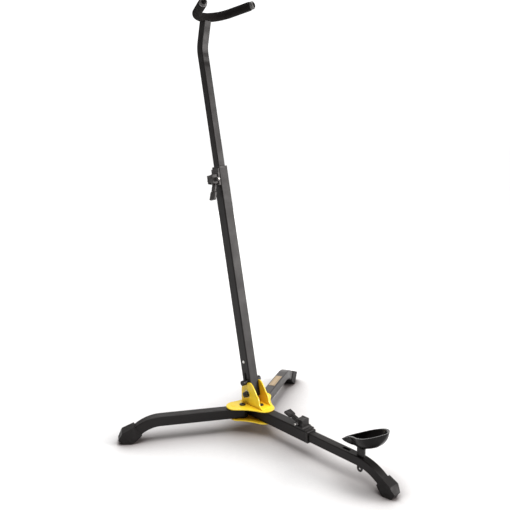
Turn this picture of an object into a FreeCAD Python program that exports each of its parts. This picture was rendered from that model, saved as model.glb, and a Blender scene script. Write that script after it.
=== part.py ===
import FreeCAD, Part
import math
import os
import Sketcher

# Folding floor stand for a long woodwind: a tripod base of square tube under
# a sheet-steel hub, a leaning two-part mast with a padded yoke on top, and a
# scoop that carries the bottom of the instrument on the front leg.
#
# Millimetres, +Z up.  The design is laid out about the hub's vertical centre
# line with +X along the front leg, then the whole stand is shifted along X by
# origin_shift so that the origin is under the middle of its bounding box.

V = FreeCAD.Vector
Placement = FreeCAD.Placement
Rotation = FreeCAD.Rotation

doc = FreeCAD.newDocument("woodwind_stand")

# ---------------------------------------------------------------- dimensions
DIMENSIONS = [
    ("origin_shift", 102.0, "hub centre line to the middle of the bounding box, along X"),
    ("tube_outer", 25.0, "outer width of the large square tube"),
    ("tube_wall", 1.5, "wall of the large square tube"),
    ("tube_corner", 2.6, "outer corner radius of the large square tube"),
    ("slim_outer", 18.6, "outer width of the sliding square tube"),
    ("slim_wall", 1.3, "wall of the sliding square tube"),
    ("slim_corner", 2.0, "outer corner radius of the sliding square tube"),
    ("leg_height", 44.5, "height of the front leg's centre line"),
    ("swivel_height", 44.2, "height of the swivel legs' centre lines"),
    ("swivel_tube", 22.4, "outer width of a swivel leg's square tube"),
    ("swivel_wall", 1.5, "wall of a swivel leg's square tube"),
    ("swivel_corner", 2.4, "outer corner radius of a swivel leg's square tube"),
    ("washer_outer", 21.0, "outer diameter of a swivel washer"),
    ("plate_gap", 25.3, "gap between the hub plates"),
    ("plate_thickness", 2.4, "hub plate thickness"),
    ("lobe_reach", 44.0, "hub centre to the centre of a swivel lobe"),
    ("lobe_radius", 22.0, "radius of a swivel lobe"),
    ("low_lobe_reach", 38.5, "hub centre to a swivel lobe's centre on the lower plate"),
    ("low_lobe_radius", 18.5, "radius of a swivel lobe of the lower plate"),
    ("front_lobe_reach", 29.0, "hub centre to the centre of the front lobe"),
    ("front_lobe_radius", 23.0, "radius of the front lobe"),
    ("web_radius", 95.0, "radius of the hollow edge between two lobes"),
    ("leg_spread", 119.0, "angle between the front leg and a swivel leg"),
    ("swivel_reach", 29.3, "hub centre to a swivel bolt"),
    ("swivel_bolt", 8.0, "diameter of a swivel bolt"),
    ("sleeve_outer", 12.0, "outer diameter of a spacer sleeve"),
    ("leg_bend_start", 211.5, "hub centre to the start of a swivel leg's bend"),
    ("leg_bend_radius", 80.0, "centre line radius of a swivel leg's bend"),
    ("leg_bend_angle", 42.0, "angle of the bend"),
    ("leg_tail", 8.0, "straight length after the bend"),
    ("front_tube_back", 20.0, "front tube length behind the hub centre"),
    ("front_tube_end", 168.0, "hub centre to the open end of the front tube"),
    ("extension_start", 112.0, "hub centre to the hidden end of the extension"),
    ("extension_bend_start", 296.0, "hub centre to the start of the extension's bend"),
    ("extension_bend_radius", 95.0, "centre line radius of the extension's bend"),
    ("extension_tail", 6.0, "straight length after the extension's bend"),
    ("cup_station", 301.5, "hub centre to the post of the cup"),
    ("spare_slot_station", 266.0, "hub centre to the spare slot"),
    ("slot_long", 17.6, "length of a post slot"),
    ("slot_wide", 6.6, "width of a post slot"),
    ("pivot_back", 9.5, "mast pivot behind the hub centre"),
    ("pivot_height", 83.5, "height of the mast pivot"),
    ("mast_lean", 11.95, "backward lean of the mast"),
    ("mast_foot", 8.0, "lower mast tube below its pivot"),
    ("mast_top", 506.0, "pivot to the top of the lower mast tube"),
    ("upper_start", 372.0, "pivot to the hidden end of the upper mast tube"),
    ("kink_station", 773.0, "pivot to the kink of the upper mast tube"),
    ("kink_angle", 25.5, "forward turn at the kink"),
    ("kink_radius", 55.0, "centre line radius of the kink"),
    ("saddle_rise", 6.3, "height of the tube's saddle around the yoke's foam"),
    ("kink_to_top", 53.3, "kink to the top end of the upper tube"),
    ("pivot_bolt", 8.0, "diameter of the mast pivot bolt"),
    ("ear_inner", 12.8, "hub centre plane to an ear's inner face"),
    ("ear_thickness", 2.5, "bracket sheet thickness"),
    ("lock_pin_diameter", 6.0, "diameter of the lock pin"),
    ("lock_pin_station", 26.4, "mast pivot to the lock pin"),
    ("lock_pin_lift", 18.0, "travel of the lock pin along its slot"),
    ("rivet_station", 72.0, "mast pivot to the spring anchor rivet"),
    ("rivet_diameter", 4.0, "diameter of the spring anchor rivet"),
    ("clamp_bolt", 5.0, "diameter of a clamp's cross bolt"),
    ("clamp_bolt_off", 10.5, "tube face to the clamp's cross bolt"),
    ("leg_clamp_station", 145.0, "hub centre to the leg clamp's cross bolt"),
    ("mast_clamp_station", 482.0, "mast pivot to the mast clamp's cross bolt"),
    ("collar_height", 5.0, "visible height of a guide collar"),
    ("yoke_rod_diameter", 8.0, "diameter of the yoke rod"),
    ("yoke_foam_diameter", 19.0, "diameter of the yoke's foam sleeve"),
    ("yoke_radius", 48.0, "centre line radius of the yoke"),
    ("yoke_reach", 84.0, "mast to the tips of the yoke"),
    ("yoke_flare", 23.0, "outward angle of the yoke's arms"),
    ("yoke_roll", 4.5, "sideways tilt of the yoke"),
    ("yoke_rise", 11.5, "upward tilt of the yoke towards its tips"),
    ("cup_wall", 3.0, "wall of the cup"),
    ("cup_half_width", 32.8, "half width of the cup"),
    ("cup_floor", 71.5, "height of the cup's underside"),
    ("cup_nose", 254.8, "hub centre to the cup's low lip"),
    ("cup_back", 361.0, "hub centre to the cup's high back"),
    ("cup_widest", 327.0, "hub centre to the cup's widest station"),
    ("cup_rim_mid", 97.2, "height of the rim above the post"),
]
sheet = doc.addObject("Spreadsheet::Sheet", "Dimensions")
for row, (alias, value, note) in enumerate(DIMENSIONS, start=1):
    sheet.set("A%d" % row, alias)
    sheet.set("B%d" % row, "%g" % value)
    sheet.setAlias("B%d" % row, alias)
    sheet.set("C%d" % row, note)
doc.recompute()
D = {alias: float(sheet.get(alias)) for alias, value, note in DIMENSIONS}

OX = D["origin_shift"]
LZ = D["leg_height"]
SPREAD = D["leg_spread"]
HALF = D["tube_outer"] / 2.0
SLIM = D["slim_outer"] / 2.0
PLATE_TOP = LZ + D["plate_gap"] / 2.0 + D["plate_thickness"]
PLATE_LOW = LZ - D["plate_gap"] / 2.0 - D["plate_thickness"]
FLOOR = PLATE_TOP + D["ear_thickness"]          # upper face of the bracket's floor


def hub(x=0.0, y=0.0, z=0.0, rotation=None):
    """A placement in the hub's layout."""
    return Placement(V(x - OX, y, z), rotation or Rotation())


def leg_frame(angle, z=LZ):
    return hub(0, 0, z, Rotation(V(0, 0, 1), angle))


MAST = hub(-D["pivot_back"], 0, D["pivot_height"], Rotation(V(0, 1, 0), -D["mast_lean"]))


# ------------------------------------------------------------------- helpers
def origin_plane(body, role):
    for feature in body.Origin.OriginFeatures:
        if feature.Role == role:
            return feature
    raise ValueError(role)


def new_body(label):
    body = doc.addObject("PartDesign::Body", label)
    body.Label = label
    return body


def new_sketch(body, name, role="XY_Plane", offset=0.0, expression=None):
    sk = body.newObject("Sketcher::SketchObject", name)
    sk.AttachmentSupport = [(origin_plane(body, role), "")]
    sk.MapMode = "FlatFace"
    if offset:
        sk.AttachmentOffset = Placement(V(0, 0, offset), Rotation())
    if expression:
        sk.setExpression("AttachmentOffset.Base.z", expression)
    return sk


def centred_rectangle(sk, width, height, width_expr=None, height_expr=None, cx=0.0, cy=0.0):
    """Rectangle about (cx, cy) with its two sizes as named constraints."""
    first = sk.GeometryCount
    w, h = width / 2.0, height / 2.0
    corners = [V(cx - w, cy - h, 0), V(cx + w, cy - h, 0), V(cx + w, cy + h, 0), V(cx - w, cy + h, 0)]
    for k in range(4):
        sk.addGeometry(Part.LineSegment(corners[k], corners[(k + 1) % 4]), False)
    for k in range(4):
        sk.addConstraint(Sketcher.Constraint("Coincident", first + k, 2, first + (k + 1) % 4, 1))
    sk.addConstraint(Sketcher.Constraint("Horizontal", first))
    sk.addConstraint(Sketcher.Constraint("Horizontal", first + 2))
    sk.addConstraint(Sketcher.Constraint("Vertical", first + 1))
    sk.addConstraint(Sketcher.Constraint("Vertical", first + 3))
    c = sk.addConstraint(Sketcher.Constraint("DistanceX", first, 1, first, 2, width))
    if width_expr:
        sk.setExpression("Constraints[%d]" % c, width_expr)
    c = sk.addConstraint(Sketcher.Constraint("DistanceY", first + 1, 1, first + 1, 2, height))
    if height_expr:
        sk.setExpression("Constraints[%d]" % c, height_expr)
    if abs(cx) < 1e-9 and abs(cy) < 1e-9:
        sk.addConstraint(Sketcher.Constraint("Symmetric", first, 1, first + 1, 2, -1, 1))
    return first


def circle(sk, radius, expression=None, cx=0.0, cy=0.0):
    index = sk.addGeometry(Part.Circle(V(cx, cy, 0), V(0, 0, 1), radius), False)
    c = sk.addConstraint(Sketcher.Constraint("Diameter", index, 2.0 * radius))
    if expression:
        sk.setExpression("Constraints[%d]" % c, expression)
    if abs(cx) < 1e-9 and abs(cy) < 1e-9:
        sk.addConstraint(Sketcher.Constraint("Coincident", index, 3, -1, 1))
    return index


def polygon(sk, points):
    first = sk.GeometryCount
    count = len(points)
    for k in range(count):
        a, b = points[k], points[(k + 1) % count]
        sk.addGeometry(Part.LineSegment(V(a[0], a[1], 0), V(b[0], b[1], 0)), False)
    for k in range(count):
        sk.addConstraint(Sketcher.Constraint("Coincident", first + k, 2, first + (k + 1) % count, 1))


def pad(body, sk, length, expression=None, reverse=False, both=False):
    feature = body.newObject("PartDesign::Pad", sk.Name + "_pad")
    feature.Profile = sk
    feature.Length = length
    if expression:
        feature.setExpression("Length", expression)
    feature.Reversed = reverse
    if both:
        feature.SideType = "Symmetric"
    body.Tip = feature
    doc.recompute()
    return feature


def pocket(body, sk, length=None, reverse=False, both=False):
    before = body.Shape.Volume
    feature = body.newObject("PartDesign::Pocket", sk.Name + "_pocket")
    feature.Profile = sk
    if length is None:
        feature.Type = "ThroughAll"
    else:
        feature.Length = length
    feature.Reversed = reverse
    if both:
        feature.SideType = "Symmetric"
    body.Tip = feature
    doc.recompute()
    if not body.Shape.Volume < before - 1e-3:
        raise RuntimeError("%s removed nothing" % feature.Name)
    return feature


def edges_of(shape, test):
    return ["Edge%d" % (k + 1) for k, e in enumerate(shape.Edges) if test(e)]


def along(e, axis):
    """True for a straight edge that lies along the given axis."""
    if e.Curve.TypeId != "Part::GeomLine":
        return False
    d = e.Vertexes[-1].Point - e.Vertexes[0].Point
    return d.Length > 1e-6 and abs(abs(d.normalize().dot(axis)) - 1.0) < 1e-6


def dress(body, kind, names, size, expression=None):
    base = body.Tip
    feature = body.newObject("PartDesign::" + kind, "%s_%s_%d" % (body.Name, kind.lower(), len(body.Group)))
    feature.Base = (base, names)
    prop = "Radius" if kind == "Fillet" else "Size"
    setattr(feature, prop, size)
    if expression:
        feature.setExpression(prop, expression)
    body.Tip = feature
    doc.recompute()
    return feature


def feature_part(label, shape, placement):
    """A sub-part whose shape is built with Part's own functions."""
    obj = doc.addObject("Part::Feature", label)
    obj.Label = label
    local = shape.Placement
    obj.Shape = shape
    obj.Placement = placement.multiply(local)
    return obj


def rounded_square(size, radius, place):
    """Closed wire of a rounded square in the local XY plane of 'place'."""
    h = size / 2.0
    s = h - radius
    k = radius * (1 - math.sqrt(0.5))
    p = lambda x, y: V(x, y, 0)
    edges = [
        Part.LineSegment(p(-s, -h), p(s, -h)).toShape(),
        Part.Arc(p(s, -h), p(h - k, -h + k), p(h, -s)).toShape(),
        Part.LineSegment(p(h, -s), p(h, s)).toShape(),
        Part.Arc(p(h, s), p(h - k, h - k), p(s, h)).toShape(),
        Part.LineSegment(p(s, h), p(-s, h)).toShape(),
        Part.Arc(p(-s, h), p(-h + k, h - k), p(-h, s)).toShape(),
        Part.LineSegment(p(-h, s), p(-h, -s)).toShape(),
        Part.Arc(p(-h, -s), p(-h + k, -h + k), p(-s, -h)).toShape(),
    ]
    wire = Part.Wire(edges)
    wire.Placement = place
    return wire


def bent_bar(width, rounding, start, bend_start, radius, angle, tail):
    """Solid square bar along +X that bends down towards -Z."""
    section = Part.Face(rounded_square(width, rounding, Placement(V(0, 0, 0), Rotation(V(0, 1, 0), 90))))
    a = section.copy()
    a.translate(V(start, 0, 0))
    first = a.extrude(V(bend_start - start, 0, 0))
    b = section.copy()
    b.translate(V(bend_start, 0, 0))
    bend = b.revolve(V(bend_start, 0, -radius), V(0, 1, 0), angle)
    c = section.copy()
    c.translate(V(bend_start, 0, 0))
    c.rotate(V(bend_start, 0, -radius), V(0, 1, 0), angle)
    direction = V(math.cos(math.radians(angle)), 0, -math.sin(math.radians(angle)))
    last = c.extrude(direction * tail)
    return first.fuse([bend, last])


def bent_tube(size, wall, corner, start, bend_start, radius, angle, tail):
    """Square tube along +X that bends down towards -Z, hollow from end to end."""
    outer = bent_bar(size, corner, start, bend_start, radius, angle, tail)
    inner = bent_bar(size - 2 * wall, max(corner - wall, 0.5), start - 1.0, bend_start, radius, angle, tail + 1.0)
    return outer.cut(inner).removeSplitter()


def box(x0, x1, y0, y1, z0, z1):
    return Part.makeBox(x1 - x0, y1 - y0, z1 - z0, V(x0, y0, z0))


def cylinder(r, p0, p1):
    d = V(*p1) - V(*p0)
    return Part.makeCylinder(r, d.Length, V(*p0), d)


def hexagon(across, p0, p1, turn=0.0):
    """Hexagonal prism from p0 to p1, with a small chamfer on both ends."""
    p0, p1 = V(*p0), V(*p1)
    d = p1 - p0
    height = d.Length
    r = across / math.sqrt(3.0)
    pts = [V(r * math.cos(math.radians(turn + 60 * k)), r * math.sin(math.radians(turn + 60 * k)), 0) for k in range(7)]
    prism = Part.Face(Part.makePolygon(pts)).extrude(V(0, 0, height))
    c = 0.12 * across
    cone_low = Part.makeCone(r - c * 0.55, r - c * 0.55 + height * 2, height * 2, V(0, 0, 0))
    cone_top = Part.makeCone(r - c * 0.55 + height * 2, r - c * 0.55, height * 2, V(0, 0, -height))
    prism = prism.common(cone_low).common(cone_top)
    prism.Placement = Placement(p0, Rotation(V(0, 0, 1), d))
    return prism


# ------------------------------------------------------------ square tubes
def straight_tube(label, outer_expr, wall_expr, corner_expr, length_expr, placement, length):
    """Square tube along its own +Z from the sketch plane, as a body."""
    body = new_body(label)
    sk = new_sketch(body, label + "_outer")
    size = D[outer_expr]
    centred_rectangle(sk, size, size, "Dimensions.%s" % outer_expr, "Dimensions.%s" % outer_expr)
    pad(body, sk, length, length_expr)
    names = edges_of(body.Tip.Shape, lambda e: along(e, V(0, 0, 1)))
    dress(body, "Fillet", names, D[corner_expr], "Dimensions.%s" % corner_expr)
    sk = new_sketch(body, label + "_bore")
    bore = size - 2 * D[wall_expr]
    expr = "Dimensions.%s - 2 * Dimensions.%s" % (outer_expr, wall_expr)
    centred_rectangle(sk, bore, bore, expr, expr)
    pocket(body, sk, None, reverse=True)
    names = edges_of(body.Tip.Shape, lambda e: along(e, V(0, 0, 1)) and max(abs(e.Vertexes[0].Point.x), abs(e.Vertexes[0].Point.y)) < bore / 2 + 1e-3)
    dress(body, "Fillet", names, D[corner_expr] - D[wall_expr], "Dimensions.%s - Dimensions.%s" % (corner_expr, wall_expr))
    body.Placement = placement
    return body


def side_hole(body, name, role, centre, radius, expression=None, direction_both=True, length=None, offset=0.0, reverse=False):
    sk = new_sketch(body, name, role, offset)
    circle(sk, radius, expression, centre[0], centre[1])
    return pocket(body, sk, length if length else 200.0, both=direction_both, reverse=reverse)


# =========================================================== hub and base
def plate_profile(sk, reach, radius):
    """Three-lobed outline: lobes joined by hollow edges, each tangent to both."""
    a = math.radians(SPREAD)
    lobes = [
        (V(D["front_lobe_reach"], 0, 0), D["front_lobe_radius"]),
        (V(reach * math.cos(a), reach * math.sin(a), 0), radius),
        (V(reach * math.cos(a), -reach * math.sin(a), 0), radius),
    ]
    webs = []
    R = D["web_radius"]
    for k in range(3):
        (c1, r1), (c2, r2) = lobes[k], lobes[(k + 1) % 3]
        d1, d2 = R + r1, R + r2
        d = (c2 - c1)
        L = d.Length
        u = V(d.x / L, d.y / L, 0)
        x = (d1 * d1 - d2 * d2 + L * L) / (2 * L)
        y = math.sqrt(d1 * d1 - x * x)
        out = V(u.y, -u.x, 0)                     # away from the hub
        if out.dot((c1 + c2) * 0.5) < 0:
            out = out * -1
        q = c1 + u * x + out * y
        t1 = c1 + (q - c1).normalize() * r1
        t2 = c2 + (q - c2).normalize() * r2
        mid = q + ((t1 + t2) * 0.5 - q).normalize() * R
        webs.append((t1, mid, t2))
    for k in range(3):
        t1, mid, t2 = webs[k]
        sk.addGeometry(Part.Arc(t1, mid, t2), False)
        c, r = lobes[(k + 1) % 3]
        n1 = webs[(k + 1) % 3][0]
        m = c + c.__class__(c.x, c.y, 0).normalize() * r
        sk.addGeometry(Part.Arc(t2, m, n1), False)


a_sp = math.radians(SPREAD)
SWIVELS = [V(D["swivel_reach"] * math.cos(a_sp), s * D["swivel_reach"] * math.sin(a_sp), 0) for s in (-1, 1)]
HUB_BOLTS = [V(20.0, 0, 0), V(-14.0, 0, 0)]


def hub_plate(label, z_low, dimples, reach, radius):
    body = new_body(label)
    sk = new_sketch(body, label + "_outline")
    plate_profile(sk, reach, radius)
    pad(body, sk, D["plate_thickness"], "Dimensions.plate_thickness")
    names = edges_of(body.Tip.Shape, lambda e: True)
    dress(body, "Fillet", names, 0.6)
    if dimples:
        # two small raised bosses on the swivel lobes
        sk = new_sketch(body, label + "_bosses", "XY_Plane", D["plate_thickness"] - 0.2, "Dimensions.plate_thickness - 0.2")
        for s in (-1, 1):
            r = 50.5
            circle(sk, 4.2, None, r * math.cos(a_sp), s * r * math.sin(a_sp))
        pad(body, sk, 1.2)
        top = D["plate_thickness"] + 1.0
        names = edges_of(body.Tip.Shape, lambda e: abs(e.CenterOfMass.z - top) < 1e-4 and e.Length < 40)
        dress(body, "Fillet", names, 0.8)
    sk = new_sketch(body, label + "_holes")
    for c in SWIVELS:
        circle(sk, D["swivel_bolt"] / 2 + 0.05, "Dimensions.swivel_bolt + 0.1", c.x, c.y)
    for c in HUB_BOLTS:
        circle(sk, 3.05, None, c.x, c.y)
    pocket(body, sk, 60.0, both=True)
    body.Placement = hub(0, 0, z_low)
    return body


hub_plate("base_plate_top", PLATE_TOP - D["plate_thickness"], True, D["lobe_reach"], D["lobe_radius"])
hub_plate("base_plate_bottom", PLATE_LOW, False, D["low_lobe_reach"], D["low_lobe_radius"])

# U-shaped bracket: a floor on the top plate and two ears that hold the mast
PX, PZ = -D["pivot_back"], D["pivot_height"]


def polar(angle, r):
    """Point about the mast pivot, angle from vertical, forward positive."""
    a = math.radians(angle)
    return (PX + r * math.sin(a), PZ + r * math.cos(a))


def mast_bracket():
    body = new_body("mast_bracket")
    sk = new_sketch(body, "bracket_side", "XZ_Plane")
    z0 = PLATE_TOP
    lean = D["mast_lean"]
    rear = [(-28.8, z0), (-28.8, 92.6), (-27.6, 95.4), polar(-28.0, 28.0), polar(-24.5, 28.9), polar(-21.2, 28.6),
            polar(-19.6, 27.0), polar(-19.6, 24.3), polar(-17.2, 23.1), polar(-12.0, 22.95), polar(-7.0, 23.6)]
    front = [polar(-7.0, 23.6), polar(-4.0, 24.6), polar(0.0, 25.7), polar(5.0, 26.8), polar(10.0, 27.9),
             polar(15.0, 28.9), polar(20.0, 29.5), polar(27.0, 29.5), polar(36.0, 28.9), polar(45.0, 28.4), polar(56.6, 28.3), polar(68.0, 29.2),
             polar(80.7, 31.6), polar(92.0, 36.6), (31.0, 68.4), (37.0, 62.6), (40.0, z0 + 1.2)]
    for k in range(len(rear) - 1):
        sk.addGeometry(Part.LineSegment(V(rear[k][0], rear[k][1], 0), V(rear[k + 1][0], rear[k + 1][1], 0)), False)
    curve = Part.BSplineCurve()
    curve.interpolate([V(p[0], p[1], 0) for p in front])
    sk.addGeometry(curve, False)
    sk.addGeometry(Part.LineSegment(V(40.0, z0 + 1.2, 0), V(40.0, z0, 0)), False)
    sk.addGeometry(Part.LineSegment(V(40.0, z0, 0), V(-28.8, z0, 0)), False)
    width = 2 * (D["ear_inner"] + D["ear_thickness"])
    pad(body, sk, width, "2 * (Dimensions.ear_inner + Dimensions.ear_thickness)", both=True)
    # the channel between the ears
    ch = new_sketch(body, "bracket_channel", "YZ_Plane")
    w = D["ear_inner"]
    polygon(ch, [(-w, FLOOR), (w, FLOOR), (w, 130.0), (-w, 130.0)])
    pocket(body, ch, 200.0, both=True)
    yo = width / 2
    names = edges_of(body.Tip.Shape, lambda e: along(e, V(1, 0, 0)) and abs(abs(e.CenterOfMass.y) - yo) < 1e-3 and abs(e.CenterOfMass.z - z0) < 1e-3)
    dress(body, "Fillet", names, 2.2)
    side_hole(body, "bracket_pivot", "XZ_Plane", (PX, PZ), D["pivot_bolt"] / 2 + 0.05, "Dimensions.pivot_bolt + 0.1")
    sk = new_sketch(body, "bracket_bolts")
    for c in HUB_BOLTS:
        circle(sk, 3.05, None, c.x, c.y)
    pocket(body, sk, 140.0, both=True)
    body.Placement = hub()
    return body


mast_bracket()

# front tube: fixed between the plates, open at the front, window for the shoe
front = straight_tube("front_leg_tube", "tube_outer", "tube_wall", "tube_corner",
                      "Dimensions.front_tube_end + Dimensions.front_tube_back",
                      hub(-D["front_tube_back"], 0, LZ, Rotation(V(0, 1, 0), 90)),
                      D["front_tube_end"] + D["front_tube_back"])
# local axes of this tube: +Z forward, +X down, +Y left
for k, c in enumerate(HUB_BOLTS):
    side_hole(front, "front_hub_bolt_%d" % k, "YZ_Plane", (0.0, c.x + D["front_tube_back"]), 3.05)
sk = new_sketch(front, "front_shoe_window", "YZ_Plane")
centred_rectangle(sk, 11.6, 11.6, None, None, 0.0, D["leg_clamp_station"] + D["front_tube_back"])
pocket(front, sk, 40.0)


def fasteners(label, shapes, placement=None):
    return feature_part(label, Part.makeCompound(shapes) if len(shapes) > 1 else shapes[0], placement or hub())


# bolts through the bracket's floor, both plates and the front tube
bolts, nuts = [], []
for c in HUB_BOLTS:
    z_nut = PLATE_LOW
    head = cylinder(5.2, (c.x, 0, FLOOR), (c.x, 0, FLOOR + 2.6))
    rim = [e for e in head.Edges if abs(e.CenterOfMass.z - FLOOR - 2.6) < 1e-6 and e.Length > 20]
    head = head.makeFillet(1.6, rim)
    socket = Part.Face(Part.makePolygon([V(c.x + 2.3 * math.cos(math.radians(60 * k)), 2.3 * math.sin(math.radians(60 * k)), FLOOR + 1.2) for k in range(7)])).extrude(V(0, 0, 3))
    bolts.append(cylinder(3.0, (c.x, 0, z_nut - 7.0), (c.x, 0, FLOOR + 0.1)).fuse(head).cut(socket).removeSplitter())
    nuts.append(hexagon(10.0, (c.x, 0, z_nut - 5.2), (c.x, 0, z_nut)).cut(cylinder(3.0, (c.x, 0, z_nut - 9), (c.x, 0, z_nut + 1))))
fasteners("hub_bolts", bolts)
fasteners("hub_nuts", nuts)

# swivel bolts, nuts and the sleeves that keep the plates apart
bolts, nuts, sleeves = [], [], []
rb = D["swivel_bolt"] / 2
for c in SWIVELS:
    head = cylinder(7.0, (c.x, c.y, PLATE_TOP), (c.x, c.y, PLATE_TOP + 2.4))
    rim = [e for e in head.Edges if abs(e.CenterOfMass.z - PLATE_TOP - 2.4) < 1e-6 and e.Length > 20]
    head = head.makeFillet(1.5, rim)
    socket = Part.Face(Part.makePolygon([V(c.x + 2.9 * math.cos(math.radians(60 * k)), c.y + 2.9 * math.sin(math.radians(60 * k)), PLATE_TOP + 0.8) for k in range(7)])).extrude(V(0, 0, 3))
    bolts.append(cylinder(rb, (c.x, c.y, PLATE_LOW - 8.0), (c.x, c.y, PLATE_TOP + 0.1)).fuse(head).cut(socket).removeSplitter())
    nuts.append(hexagon(13.0, (c.x, c.y, PLATE_LOW - 6.5), (c.x, c.y, PLATE_LOW)).cut(cylinder(rb, (c.x, c.y, PLATE_LOW - 9), (c.x, c.y, PLATE_LOW + 1))))
    zl, zh = PLATE_LOW + D["plate_thickness"], PLATE_TOP - D["plate_thickness"]
    sleeves.append(cylinder(D["sleeve_outer"] / 2, (c.x, c.y, zl), (c.x, c.y, zh)).cut(cylinder(rb + 0.05, (c.x, c.y, zl - 1), (c.x, c.y, zh + 1))))
fasteners("swivel_bolts", bolts)
fasteners("swivel_nuts", nuts)
fasteners("swivel_sleeves", sleeves)
washers = []
gap_low, gap_high = PLATE_LOW + D["plate_thickness"], PLATE_TOP - D["plate_thickness"]
leg_low, leg_high = D["swivel_height"] - D["swivel_tube"] / 2, D["swivel_height"] + D["swivel_tube"] / 2
for c in SWIVELS:
    for z0, z1 in ((gap_low, leg_low - 0.08), (leg_high + 0.08, gap_high)):
        washers.append(cylinder(D["washer_outer"] / 2, (c.x, c.y, z0), (c.x, c.y, z1)).cut(
            cylinder(D["sleeve_outer"] / 2 + 0.05, (c.x, c.y, z0 - 1), (c.x, c.y, z1 + 1))))
fasteners("swivel_washers", washers)

# ------------------------------------------------------------ swivel legs
def swivel_leg(label, angle):
    w = D["swivel_tube"]
    h = w / 2.0
    r = D["swivel_reach"]
    shape = bent_tube(w, D["swivel_wall"], D["swivel_corner"], r - h, D["leg_bend_start"],
                      D["leg_bend_radius"], D["leg_bend_angle"], D["leg_tail"])
    # the inner end is rounded about the swivel bolt so that it clears the front tube
    keep = cylinder(h - 0.1, (r, 0, -h - 1), (r, 0, h + 1)).fuse(box(r, 500, -60, 60, -200, 60))
    shape = shape.common(keep)
    shape = shape.cut(cylinder(D["sleeve_outer"] / 2 + 0.06, (r, 0, -h - 1), (r, 0, h + 1)))
    return feature_part(label, shape.removeSplitter(), leg_frame(angle, D["swivel_height"]))


swivel_leg("left_leg_tube", -SPREAD)
swivel_leg("rear_leg_tube", SPREAD)


# ---------------------------------------------------------------- foot caps
def foot_cap(label, profile, bend, tube, half_rear, half_toe, taper_from, half_end, placement):
    """Moulded boot in the leg's own frame (heights from the floor).

    profile: side outline A top rear, B top front, C toe, D and E the sole, F (and more) underside
    bend: the tube that the boot fits, tube: its width and corner radius
    """
    base, start, radius, angle, tail = bend
    a = math.radians(angle)
    d = V(math.cos(a), 0, -math.sin(a))
    n = V(math.sin(a), 0, math.cos(a))
    far = 60.0
    face = Part.Face(Part.makePolygon([V(x, -far, z) for x, z in profile + [profile[0]]]))
    boot = face.extrude(V(0, 2 * far, 0))
    # flared sides, then tapered towards the toe
    t_rear = V(profile[-1][0], 0, profile[-1][1]).dot(d) - 2.0
    t_end = max(V(x, 0, z).dot(d) for x, z in profile) + 0.5
    outline = [(t_rear, half_rear), (taper_from, half_toe), (t_end, half_end)]
    outline = outline + [(t, -h) for t, h in reversed(outline)]
    pts = [d * t + V(0, h, 0) - n * 300 for t, h in outline]
    boot = boot.common(Part.Face(Part.makePolygon(pts + [pts[0]])).extrude(n * 600))
    # soften the long corners
    edges = [e for e in boot.Edges if e.Length > 9 and abs(e.CenterOfMass.y) > half_rear - 1.5
             and not (abs(e.Vertexes[0].Point.z) < 0.01 and abs(e.Vertexes[-1].Point.z) < 0.01)
             and (e.Vertexes[0].Point - e.Vertexes[-1].Point).normalize().dot(n) ** 2 < 0.8]
    try:
        soft = boot.makeFillet(1.6, edges)
        if soft.isValid() and soft.Volume > 0:
            boot = soft
    except Part.OCCError:
        pass
    socket = bent_bar(tube[0], tube[1], start - 40.0, start, radius, angle, tail)
    socket.translate(V(0, 0, base))
    boot = boot.cut(socket).removeSplitter()
    return feature_part(label, boot, placement)


LEG_BEND = (D["swivel_height"], D["leg_bend_start"], D["leg_bend_radius"], D["leg_bend_angle"], D["leg_tail"])
LEG_BOOT = [(269.5, 38.2), (295.0, 27.2), (303.8, 10.0), (293.5, 0.0), (274.8, 0.0), (262.3, 8.4), (253.0, 17.4)]
EXT_BEND = (LZ, D["extension_bend_start"], D["extension_bend_radius"], D["leg_bend_angle"], D["extension_tail"])
EXT_BOOT = [(359.2, 35.0), (378.2, 25.6), (386.0, 12.0), (379.0, 0.0), (362.5, 0.0), (354.6, 7.2), (346.4, 16.6)]
for name, side in (("left_foot_cap", -SPREAD), ("rear_foot_cap", SPREAD)):
    foot_cap(name, LEG_BOOT, LEG_BEND, (D["swivel_tube"], D["swivel_corner"]), 12.9, 15.2, 203.0, 11.0, leg_frame(side, 0))
foot_cap("front_foot_cap", EXT_BOOT, EXT_BEND, (D["slim_outer"], D["slim_corner"]), 10.9, 12.2, 266.0, 8.0, leg_frame(0, 0))

# blank plate on the rear leg's upper face
body = new_body("rear_leg_label")
sk = new_sketch(body, "label_outline")
centred_rectangle(sk, 62.0, 15.0)
pad(body, sk, 0.4)
body.Placement = leg_frame(SPREAD, D["swivel_height"]).multiply(Placement(V(150.0, 0, D["swivel_tube"] / 2), Rotation()))

# ---------------------------------------------------- front leg extension
shape = bent_tube(D["slim_outer"], D["slim_wall"], D["slim_corner"], D["extension_start"], D["extension_bend_start"],
                  D["extension_bend_radius"], D["leg_bend_angle"], D["extension_tail"])
for station in (D["cup_station"], D["spare_slot_station"]):
    shape = shape.cut(box(station - D["slot_long"] / 2, station + D["slot_long"] / 2, -D["slot_wide"] / 2, D["slot_wide"] / 2, -SLIM - 4, SLIM + 4))
feature_part("front_leg_extension", shape.removeSplitter(), leg_frame(0))



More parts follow.
